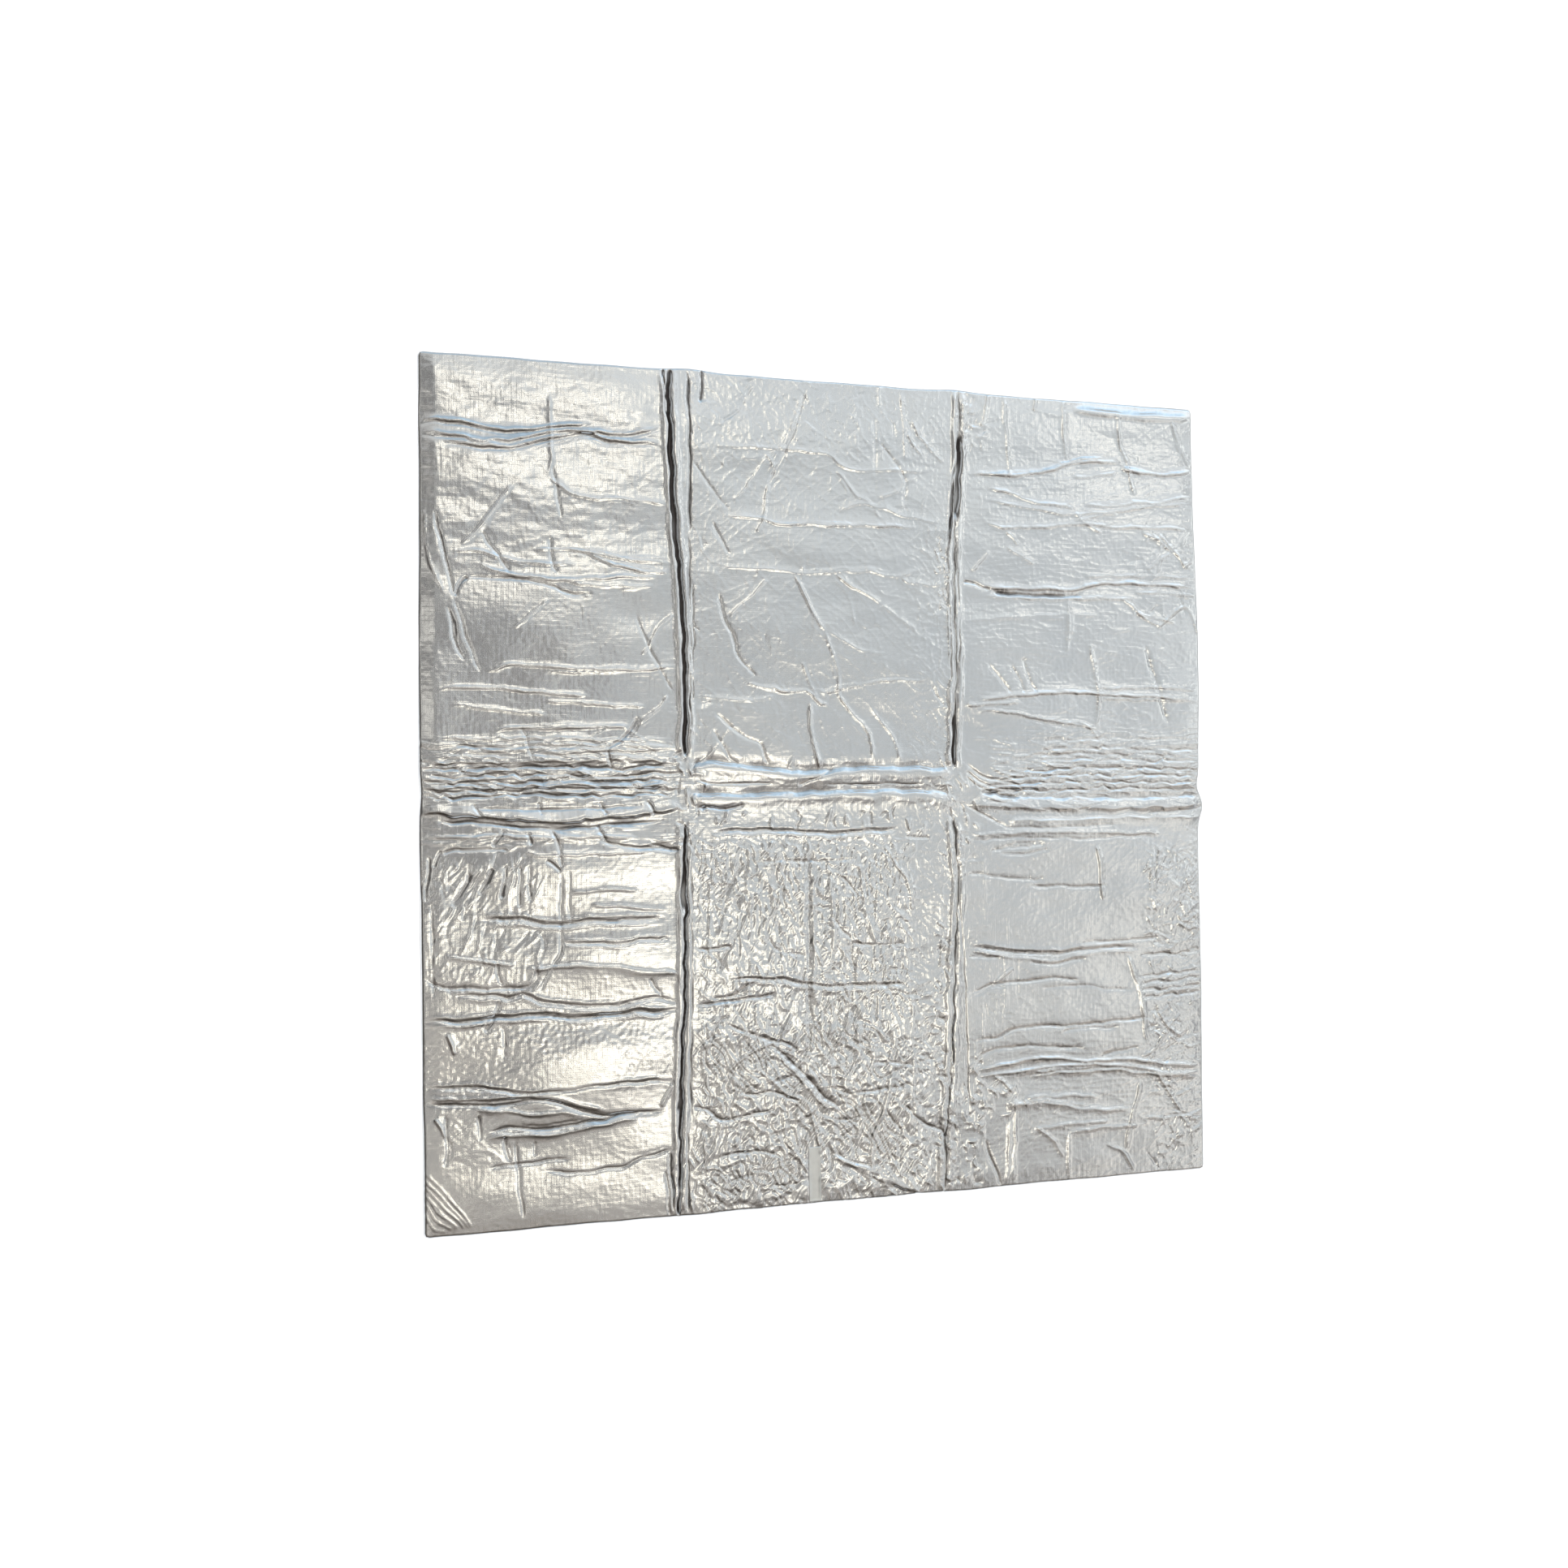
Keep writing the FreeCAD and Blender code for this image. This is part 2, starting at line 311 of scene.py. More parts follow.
def front_left_wrinkles():
    wrinkle(-1.6, 3.5, line(-860, -125, -830, -120, -780, -118, -740, -119, -720, -122))
    wrinkle(1.4, 4, line(-900, -90, -820, -92, -740, -90, -640, -96, -520, -94, -440, -100), -0.3)
    wrinkle(-2.0, 3.5, line(-540, -104, -500, -113, -450, -120, -400, -123, -365, -130))
    wrinkle(-1.7, 3, line(-430, -113, -400, -119, -360, -127))
    wrinkle(1.2, 4, line(-700, -122, -650, -134, -580, -132, -480, -130, -410, -128), 0.3)
    for points in (
        line(-735, -75, -738, -90, -752, -115), line(-683, -85, -678, -112),
        line(-636, -80, -626, -100, -618, -130, -615, -160), line(-540, -72, -530, -90, -524, -105),
        line(-650, -143, -635, -152, -618, -167),
        line(-855, -118, -865, -135, -875, -155),
    ):
        wrinkle(-1.7, 3.2, points)
    wrinkle(-0.9, 3.2, line(-618, -165, -617, -220, -617, -270, -617, -320, -630, -350, -650, -385,
        -662, -420))
    wrinkle(-0.5, 3.2, line(-600, -160, -601, -220, -598, -285))
    wrinkle(-1.4, 3.2, line(-882, -128, -886, -170, -889, -225))
    wrinkle(-1.0, 4, line(-878, -220, -878, -330, -876, -420))
    wrinkle(-1.9, 3.6, line(-727, -150, -733, -190, -738, -222))
    wrinkle(-1.5, 3.6, line(-755, -155, -768, -185, -785, -210))
    wrinkle(-1.5, 3.6, line(-795, -165, -815, -200, -838, -235))
    wrinkle(-1.3, 3.4, line(-700, -150, -703, -200, -705, -240))
    wrinkle(-1.1, 3.4, line(-680, -150, -683, -190, -680, -230))
    scatter(48, (-.87, -.66), (-.29, -.14), (.03, .09), 66, 12, (0.35, 0.8), (2.6, 3.6))
    scatter(30, (-.88, -.66), (-.42, -.28), (.03, .08), 72, 16, (0.3, 0.7), (2.6, 3.6))
    double(2.1, 3.2, line(-790, -268, -750, -263, -700, -266, -650, -274, -600, -277, -560, -272,
        -500, -271, -440, -272, -390, -270))
    double(1.7, 3, line(-620, -315, -550, -318, -480, -322, -455, -315, -380, -313), 7)
    wrinkle(0.9, 4, line(-560, -237, -500, -243, -440, -248, -390, -250), 0.3)
    wrinkle(0.9, 4, line(-600, -212, -520, -207, -450, -209), 0.3)
    wrinkle(1.9, 6, line(-700, -366, -650, -365, -580, -362, -520, -367, -450, -378, -400, -383,
        -360, -388), -0.4)
    wrinkle(1.2, 5, line(-850, -335, -800, -342, -750, -352, -710, -356), -0.3)
    wrinkle(-1.6, 5, line(-900, -378, -860, -397, -800, -401, -720, -405, -670, -400), 0.3)
    double(1.5, 3.6, line(-850, -415, -760, -418, -730, -425, -700, -417, -670, -430, -640, -440,
        -550, -450, -480, -448, -420, -440, -380, -445, -363, -455), 8)
    double(2.6, 3.4, line(-900, -463, -820, -468, -760, -463, -700, -464, -650, -463, -620, -469,
        -560, -471, -500, -467, -450, -466, -410, -468, -363, -460), 8)
    wrinkle(-1.3, 4, line(-745, -350, -748, -375, -738, -400))
    wrinkle(-1.4, 4, line(-745, -425, -750, -450, -762, -475, -776, -492))
    wrinkle(-0.8, 4, line(-738, -480, -735, -510, -736, -550))
    wrinkle(-1.2, 3.5, line(-430, -395, -420, -415, -405, -435))
    wrinkle(1.4, 4, line(-850, -490, -842, -515, -836, -535), 0.3)
    double(1.9, 3.2, line(-900, -600, -800, -603, -750, -610, -700, -622, -630, -621, -560, -617,
        -500, -613, -450, -612, -380, -616), 7)
    wrinkle(-2.0, 3.4, line(-900, -630, -820, -635, -760, -641, -700, -636, -650, -637, -620, -645,
        -590, -660, -550, -672, -500, -677, -450, -676, -390, -672), -0.3)
    wrinkle(1.5, 5, line(-900, -618, -800, -624, -700, -625, -630, -632, -580, -650, -520, -666), -0.3)
    wrinkle(1.4, 6, line(-800, -648, -730, -654, -680, -664, -620, -664, -570, -676), -0.3)
    wrinkle(-2.3, 3.4, line(-775, -696, -740, -690, -700, -692, -660, -697, -620, -694, -570, -688,
        -530, -685, -500, -678, -450, -676), 0.2)
    wrinkle(1.9, 5, line(-780, -708, -720, -703, -650, -709, -590, -702, -520, -693, -450, -686), -0.3)
    wrinkle(-1.4, 3.2, line(-770, -768, -720, -764, -680, -765, -650, -760, -600, -763))
    wrinkle(-1.4, 3.2, line(-660, -781, -600, -791, -550, -790, -500, -785, -450, -770, -400, -760,
        -375, -760))
    for height, points in (
        (-1.1, line(-855, -650, -853, -710, -857, -760)), (-1.1, line(-788, -660, -787, -710)),
        (-1.4, line(-737, -705, -735, -730, -726, -760)),
        (-1.0, line(-715, -710, -712, -760, -706, -830, -700, -880)),
        (1.3, line(-880, -660, -865, -680, -856, -700)), (-0.8, line(-676, -720, -675, -750)),
    ):
        wrinkle(height, 3.8, points)
    for offset in (0, .013, .026, .042, .058, .078):
        wrinkle(0.6, 2.6, [(-.90, -.765 - offset), (-.865 - .2 * offset, -.805 - offset),
                        (-.80 - .7 * offset, -.888)], 0.2)
    wrinkle(1.2, 4, line(-410, -665, -395, -640, -385, -620))


def back_middle_wrinkles():
    wrinkle(1.2, 4.5, line(-300, 742, -200, 742, -140, 745, -100, 742, -40, 740, -10, 732, 20, 712, 70, 706,
        120, 710, 200, 712, 240, 720), 0.4)
    wrinkle(-1.5, 3.6, line(-65, 885, -85, 830, -100, 780, -120, 740, -145, 690, -160, 660))
    wrinkle(1.0, 3.6, line(-75, 870, -97, 810, -112, 765, -135, 715, -155, 680))
    wrinkle(1.1, 4, line(-155, 670, -165, 620, -170, 580, -190, 555))
    wrinkle(1.0, 4, line(-130, 748, -160, 720, -190, 680, -210, 650, -240, 625))
    wrinkle(-0.9, 4, line(-190, 880, -220, 830, -250, 800, -265, 790))
    wrinkle(-1.0, 4, line(-330, 710, -300, 670, -270, 630, -245, 603))
    wrinkle(1.8, 5.5, line(-260, 592, -200, 590, -170, 588, -140, 580, -110, 578, -70, 583, -20, 582,
        50, 585, 200, 585), 0.5)
    wrinkle(1.1, 5, line(0, 603, 20, 620, 50, 632, 90, 628, 130, 618, 200, 605, 250, 600), 0.4)
    wrinkle(0.9, 4, line(0, 705, 30, 670, 50, 650, 80, 637))
    wrinkle(1.0, 4, line(100, 648, 140, 665, 165, 685, 190, 700))
    wrinkle(-0.8, 4, line(165, 690, 160, 650, 167, 620))
    wrinkle(-1.1, 3.6, line(100, 775, 130, 740, 155, 710, 165, 680))
    wrinkle(0.9, 3.6, line(155, 890, 160, 840, 163, 780, 163, 730))
    wrinkle(-0.7, 5, line(90, 830, 93, 760, 92, 690))
    wrinkle(1.1, 4, line(180, 830, 200, 790, 230, 760, 260, 735))
    wrinkle(1.0, 4, line(170, 800, 190, 765, 210, 745))
    wrinkle(0.8, 4, line(103, 900, 105, 850))
    wrinkle(-1.1, 4, line(-285, 580, -270, 550, -245, 505))
    wrinkle(1.1, 4, line(-270, 475, -230, 481, -180, 480, -100, 475, -40, 474, 20, 480, 90, 479, 150, 475,
        180, 485, 210, 489), 0.4)
    wrinkle(1.0, 4, line(150, 475, 165, 461, 200, 460, 245, 455), 0.3)
    wrinkle(1.5, 4.4, line(-100, 472, -80, 430, -60, 390, -30, 345), 0.4)
    wrinkle(0.9, 5, line(-35, 350, -10, 290, 0, 240, 0, 200))
    wrinkle(1.2, 4.4, line(-5, 470, 40, 445, 80, 425, 105, 412), 0.4)
    wrinkle(0.6, 5, line(100, 415, 140, 385, 185, 355))
    wrinkle(0.7, 4, line(-30, 350, 20, 325, 60, 305, 100, 303))
    wrinkle(-2.0, 4.2, line(-272, 430, -262, 370, -245, 340, -235, 300, -215, 270, -185, 243), 0.3)
    wrinkle(1.0, 4, line(-160, 460, -190, 425, -220, 400, -250, 370))
    wrinkle(1.4, 3.6, line(-215, 228, -170, 225, -130, 218, -80, 215, -60, 205, -45, 190, -20, 185), 0.2,
        1.6 * MM)
    wrinkle(1.0, 4.4, line(-60, 212, -20, 215, 20, 225, 60, 233, 100, 240, 220, 243), 0.3)
    wrinkle(1.2, 4.4, line(-5, 215, 20, 180, 50, 145, 70, 120, 80, 65), 0.3)
    wrinkle(1.0, 4.4, line(70, 190, 90, 160, 110, 135, 135, 100, 140, 60), 0.3)
    wrinkle(1.7, 5.4, line(-65, 195, -66, 140, -60, 100, -50, 60, -45, 38), 0.3)
    wrinkle(-1.2, 4, line(-285, 168, -240, 135, -210, 110, -180, 100, -170, 70, -160, 50))
    wrinkle(1.0, 3.6, line(-235, 145, -270, 105, -300, 70, -325, 55))
    wrinkle(-0.8, 3.6, line(-290, 130, -270, 100, -250, 70, -230, 55))
    wrinkle(0.8, 4, line(-320, 205, -250, 195, -200, 195, -140, 202))
    wrinkle(0.8, 4, line(-85, 280, -70, 240, -50, 200))
    wrinkle(-0.8, 4, line(220, 230, 230, 210, 250, 190))
    wrinkle(0.9, 4, line(205, 165, 225, 180, 260, 185))
    scatter(26, (-.32, .24), (.60, .88), (.03, .08), 55, 45, (0.3, 0.8), (3, 5))
    scatter(34, (-.32, .22), (.06, .58), (.03, .10), 110, 35, (0.15, 0.45), (3.5, 6))


def front_middle_wrinkles():
    wrinkle(-2.0, 3.6, line(-330, -38, -300, -36, -260, -41, -215, -30))
    double(1.9, 4, line(-300, -90, -220, -89, -140, -88, -60, -95, 0, -97, 60, -93, 120, -90, 145, -78), 8)
    wrinkle(-1.4, 3, line(150, -105, 180, -108, 210, -106))
    scatter(26, (-.30, .20), (-.085, -.05), (.02, .045), 75, 18, (0.6, 1.4), (3, 4.5))
    scatter(20, (-.20, .16), (-.17, -.12), (.02, .04), 62, 24, (0.6, 1.3), (3, 4.2))
    wrinkle(-1.2, 3.4, line(-200, -155, -120, -153, -50, -157, 40, -154), 0, 1.6 * MM)
    for height, width, points in (
        (-1.6, 4, line(-200, -135, -230, -170, -260, -215, -290, -245)),
        (1.4, 4, line(-155, -110, -175, -135, -200, -158)),
        (-1.3, 5, line(-75, -160, -77, -250, -78, -350, -80, -450, -78, -520, -80, -600)),
        (1.1, 4, line(-64, -170, -67, -270, -66, -360, -68, -460)),
        (1.6, 6, line(-30, -180, -25, -230, -20, -300, -20, -360)),
        (1.8, 4.5, line(40, -160, 47, -200, 55, -270, 70, -310, 82, -345)),
        (-1.4, 4, line(0, -190, 20, -210, 38, -238)),
        (-1.4, 4, line(-30, -270, 0, -310, 20, -330, 20, -370, 32, -410)),
        (1.7, 4.5, line(100, -120, 130, -170, 155, -200, 165, -250, 162, -280)),
        (-2.0, 3.5, line(-330, -342, -290, -340, -250, -337)),
        (-1.4, 4, line(-235, -290, -250, -330, -270, -360, -288, -388)),
        (-1.3, 4, line(-170, -315, -155, -340, -120, -355, -85, -358)),
        (-1.2, 3.6, line(20, -338, 70, -345, 155, -343)),
        (-1.6, 4, line(-300, -443, -250, -440, -220, -425, -190, -410)),
        (-2.2, 3.6, line(-335, -459, -280, -453, -220, -448, -180, -447, -148, -436)),
        (-1.7, 4.4, line(-270, -500, -220, -520, -170, -540, -140, -545, -100, -570)),
        (1.6, 4.4, line(-265, -600, -220, -570, -180, -550, -150, -540, -130, -510, -118, -478)),
        (-2.1, 4.8, line(-170, -545, -130, -580, -100, -610, -70, -645, -40, -675, -5, -703)),
        (1.6, 4.6, line(-150, -575, -115, -610, -85, -645, -55, -680, -30, -705)),
        (1.4, 4.2, line(-200, -600, -160, -630, -130, -660, -90, -672)),
        (-2.0, 3, line(-163, -630, -140, -624, -118, -622)),
        (-1.7, 3.6, line(-245, -648, -200, -655, -160, -652, -130, -668, -95, -673)),
        (-2.1, 3.8, line(-345, -672, -310, -680, -280, -702, -240, -702, -200, -695, -155, -687)),
        (1.5, 5, line(-85, -675, -72, -720, -60, -770, -54, -800)),
        (-1.9, 3.6, line(-35, -645, 0, -663, 50, -665, 100, -660, 155, -657)),
        (-1.6, 3.6, line(-20, -722, 20, -720, 55, -717)),
        (1.9, 5.4, line(115, -605, 105, -660, 90, -710, 70, -760, 60, -820, 70, -850)),
        (-1.5, 4, line(95, -705, 115, -735, 133, -757)),
        (-1.9, 4.2, line(140, -700, 170, -730, 200, -750, 230, -765, 250, -790)),
        (2.6, 8, line(-30, -800, 20, -820, 60, -840, 100, -860, 140, -880, 180, -900)),
        (-1.8, 3.6, line(-30, -795, 20, -815, 60, -830)),
        (1.6, 5, line(20, -485, 0, -530, -20, -560, -50, -600)),
        (1.2, 4, line(155, -440, 165, -500, 160, -560, 165, -630, 155, -700, 150, -760)),
        (-2.0, 3.6, line(-285, -782, -240, -777, -200, -777, -160, -785, -140, -797)),
        (1.8, 5, line(-140, -755, -110, -790, -88, -830)),
        (-1.2, 3.6, line(60, -600, 120, -606, 175, -613)),
        (-1.6, 3.4, line(-170, -850, -140, -853, -100, -852)),
        (-1.4, 3.6, line(-300, -545, -285, -500, -262, -485)),
    ):
        wrinkle(0.85 * height, 0.88 * width, points, 0.2)
    double(1.6, 3.8, line(-270, -413, -230, -405, -190, -407, -150, -410, -100, -420, -40, -430, 20, -430,
        100, -432, 170, -430), 8)
    scatter(120, (-.31, .15), (-.60, -.16), (.04, .11), 84, 26, (0.3, 0.8), (2.8, 4.2))
    scatter(110, (-.31, .22), (-.88, -.50), (.04, .11), 50, 45, (0.3, 0.9), (2.8, 4.2))
    scatter(40, (-.30, .20), (-.89, -.84), (.03, .07), 20, 40, (0.4, 1.2), (3, 4.2))
    scatter(24, (.15, .22), (-.62, -.42), (.03, .06), 12, 14, (0.5, 1.2), (3, 4.5))


def back_right_wrinkles():
    wrinkle(2.0, 5.5, line(310, 715, 400, 715, 480, 722, 550, 742, 600, 755, 660, 760, 720, 757), 0.5)
    wrinkle(1.8, 5.5, line(700, 746, 740, 742, 780, 738, 820, 737, 860, 743, 900, 750), 0.5)
    wrinkle(0.9, 4, line(580, 720, 630, 725, 670, 732, 700, 742), 0.3)
    wrinkle(1.3, 4.4, line(360, 685, 420, 675, 460, 662, 500, 655, 560, 652, 588, 642), 0.4)
    wrinkle(1.1, 4.4, line(600, 655, 680, 656, 740, 668, 800, 670, 840, 680, 900, 690), 0.4)
    wrinkle(1.1, 4.4, line(350, 655, 420, 648, 480, 642, 550, 633, 600, 635, 680, 643, 740, 655, 800, 663,
        900, 673), 0.4)
    wrinkle(1.4, 4.6, line(340, 610, 370, 602, 400, 594, 460, 598, 520, 603, 600, 613, 640, 612, 700, 608,
        780, 610, 840, 613, 900, 602), 0.4)
    wrinkle(1.1, 4, line(585, 640, 600, 625, 630, 605, 655, 594))
    wrinkle(0.8, 4, line(580, 620, 620, 625, 650, 635, 700, 640))
    for points in (line(410, 585, 430, 570, 440, 555), line(410, 550, 450, 530, 480, 515),
                   line(370, 540, 340, 510, 320, 490), line(770, 510, 800, 530, 835, 555),
                   line(840, 870, 865, 810, 895, 755), line(870, 430, 890, 390, 900, 360)):
        wrinkle(0.9, 4, points)
    wrinkle(-1.9, 3.2, line(300, 468, 330, 465, 350, 455, 370, 452))
    wrinkle(-2.6, 3.2, line(365, 446, 430, 444, 500, 443, 570, 444, 605, 446))
    wrinkle(1.9, 5.5, line(330, 460, 400, 456, 500, 458, 570, 458, 610, 465, 640, 474, 700, 477, 760, 478,
        850, 475, 900, 472), 0.5)
    wrinkle(1.1, 4.4, line(350, 437, 450, 436, 550, 437, 650, 440, 750, 442), 0.3)
    wrinkle(0.9, 4.4, line(600, 490, 700, 495, 800, 498, 900, 495), 0.3)
    wrinkle(0.9, 4.4, line(730, 455, 800, 458, 900, 455), 0.3)
    wrinkle(0.8, 5, line(410, 900, 413, 850, 417, 780, 420, 700))
    wrinkle(1.2, 4.4, line(560, 900, 560, 850, 563, 800, 567, 755), -0.3)
    wrinkle(1.2, 5, line(710, 880, 705, 840, 710, 800, 725, 765, 735, 720, 745, 680), -0.3)
    wrinkle(0.9, 4, line(492, 900, 486, 865))
    wrinkle(1.2, 4.2, line(800, 600, 820, 580, 850, 550, 875, 515), 0.3)
    wrinkle(1.0, 4.2, line(760, 600, 800, 585, 830, 560, 865, 543), 0.3)
    wrinkle(1.0, 4, line(370, 900, 360, 850, 350, 820))
    for points in (line(360, 285, 380, 260, 400, 235, 418, 217), line(420, 285, 440, 240, 452, 218),
                   line(448, 300, 458, 260, 468, 235, 485, 224)):
        wrinkle(-1.1, 4, points, 0.2)
    wrinkle(1.9, 5.4, line(320, 200, 380, 205, 440, 212, 500, 217, 560, 220, 620, 218, 700, 215, 800, 212,
        900, 205), 0.5)
    wrinkle(1.1, 4.4, line(300, 187, 360, 191, 440, 195), 0.3)
    wrinkle(1.0, 4.4, line(600, 235, 700, 232, 800, 235, 900, 230), 0.3)
    wrinkle(1.1, 4.6, line(320, 176, 380, 176, 450, 168, 520, 155, 600, 143, 645, 133), 0.3)
    wrinkle(1.0, 6, line(620, 340, 630, 280, 640, 240, 641, 200, 632, 140))
    wrinkle(-1.3, 5.2, line(758, 340, 770, 290, 785, 250, 795, 210, 805, 180, 818, 145), 0.3)
    wrinkle(1.2, 4, line(740, 412, 775, 388, 800, 380))
    wrinkle(1.3, 4, line(790, 375, 820, 400, 850, 425, 880, 430))
    wrinkle(1.0, 4, line(700, 445, 730, 425, 760, 405, 840, 390))
    wrinkle(0.7, 5, line(565, 440, 567, 380, 562, 310))
    wrinkle(0.6, 5, line(300, 380, 420, 390, 550, 400, 660, 400))
    wrinkle(2.4, 10, line(580, 878, 660, 874, 780, 873, 900, 876), sharp=2)
    scatter(22, (.72, .90), (.36, .60), (.03, .07), 35, 45, (0.3, 0.8), (3, 5))
    scatter(30, (.34, .88), (.16, .88), (.06, .16), 3, 8, (0.12, 0.35), (4, 7))


def front_right_wrinkles():
    wrinkle(-1.2, 5, line(360, -140, 400, -136, 450, -131, 500, -125), 0, 2 * MM)
    wrinkle(-0.9, 4, line(380, -150, 440, -149, 510, -141))
    wrinkle(1.8, 4.4, line(628, -130, 635, -170, 640, -220, 642, -262), 0.3)
    wrinkle(-1.0, 4, line(300, -190, 380, -200, 440, -207, 500, -208))
    wrinkle(-1.3, 3.6, line(455, -220, 500, -225, 540, -225, 580, -229, 620, -228, 660, -224))
    wrinkle(1.5, 4, line(778, -245, 785, -200, 790, -160, 803, -138))
    wrinkle(1.2, 4, line(765, -245, 772, -200, 780, -165))
    double(2.2, 4, line(300, -358, 360, -365, 420, -374, 480, -380, 530, -382, 580, -375, 640, -371,
        700, -370, 745, -373), 9, 0.4)
    wrinkle(-1.3, 3.8, line(450, -397, 500, -401, 550, -399, 600, -391))
    wrinkle(-1.3, 3.8, line(580, -360, 620, -353, 660, -357, 720, -355, 790, -350))
    wrinkle(-1.2, 3.4, line(300, -378, 340, -381, 380, -383))
    wrinkle(-1.6, 3.4, line(300, -461, 330, -453, 360, -443, 390, -440, 450, -438, 500, -437, 550, -438,
        585, -443))
    wrinkle(1.0, 4, line(355, -448, 385, -425, 415, -407))
    wrinkle(-0.8, 4, line(480, -455, 580, -455, 640, -465, 720, -472))
    wrinkle(1.3, 4.4, line(703, -385, 720, -430, 735, -470, 742, -500, 745, -550, 752, -600))
    for y in (-.392, -.44, -.456, -.474, -.49):
        wrinkle(-1.5, 3.4, [(.735, y), (.80, y + .002), (.85, y + .004), (.90, y + .008)], 0, 1.6 * MM)
    wrinkle(-1.7, 3.8, line(300, -576, 330, -567, 370, -563, 400, -551, 450, -545, 500, -543, 580, -545,
        650, -542, 720, -540, 770, -537), 0.3)
    wrinkle(-1.1, 3.8, line(530, -562, 550, -554, 600, -553, 680, -556))
    wrinkle(-1.3, 4, line(310, -620, 330, -600, 360, -592, 420, -585, 480, -588, 540, -595, 600, -600))
    wrinkle(-1.1, 4, line(630, -620, 680, -610, 730, -604))
    wrinkle(2.3, 5.4, line(300, -634, 360, -628, 420, -620, 480, -615, 530, -618, 580, -627, 640, -628,
        700, -630, 750, -637, 800, -645, 900, -660), -0.4)
    wrinkle(2.2, 5, line(310, -648, 400, -643, 500, -637, 580, -636, 650, -640, 700, -645, 750, -655,
        800, -667, 850, -675, 890, -688), -0.4)
    wrinkle(1.6, 4.6, line(440, -657, 520, -652, 600, -653, 680, -653, 720, -662, 800, -672, 900, -672),
        -0.3)
    wrinkle(1.3, 3.8, line(355, -648, 385, -665, 407, -690))
    wrinkle(0.9, 4.2, line(410, -690, 412, -750, 410, -820, 405, -900))
    wrinkle(1.7, 8, line(380, -713, 500, -720, 580, -735, 660, -743, 720, -745), -0.4)
    wrinkle(1.3, 7, line(430, -702, 550, -705, 630, -716), -0.4)
    wrinkle(1.0, 5, line(450, -775, 550, -770, 660, -770), -0.3)
    wrinkle(1.2, 5, line(540, -790, 630, -784, 730, -785), -0.3)
    wrinkle(1.0, 5, line(740, -770, 800, -773, 860, -770, 900, -760), -0.3)
    wrinkle(1.5, 4.6, line(735, -680, 725, -720, 710, -760, 700, -800, 690, -845), 0.3)
    wrinkle(1.1, 4, line(640, -820, 670, -835, 690, -850, 713, -893))
    wrinkle(0.9, 4, line(460, -770, 500, -800, 535, -845))
    wrinkle(0.9, 4, line(547, -790, 543, -850, 545, -900))
    wrinkle(0.9, 5, line(400, -750, 395, -820, 388, -900))
    wrinkle(1.3, 4, line(780, -520, 810, -560, 845, -585))
    wrinkle(1.2, 4, line(840, -530, 810, -560, 770, -610, 735, -628))
    wrinkle(1.2, 4, line(770, -660, 800, -700, 830, -745, 842, -762))
    wrinkle(1.0, 4, line(800, -845, 820, -825, 845, -812))
    scatter(70, (.76, .89), (-.35, -.15), (.02, .05), 10, 55, (0.6, 1.5), (2.8, 4))
    scatter(50, (.76, .89), (-.62, -.36), (.02, .06), 8, 40, (0.4, 1.1), (2.8, 4))
    scatter(44, (.76, .89), (-.89, -.62), (.03, .07), 40, 45, (0.3, 0.9), (3, 4.5))
    scatter(22, (.31, .44), (-.73, -.66), (.03, .06), 10, 40, (0.4, 1.0), (3, 4.5))
    scatter(16, (.33, .44), (-.88, -.18), (.10, .30), 90, 1, (0.12, 0.3), (2.5, 3.5), 0.01)


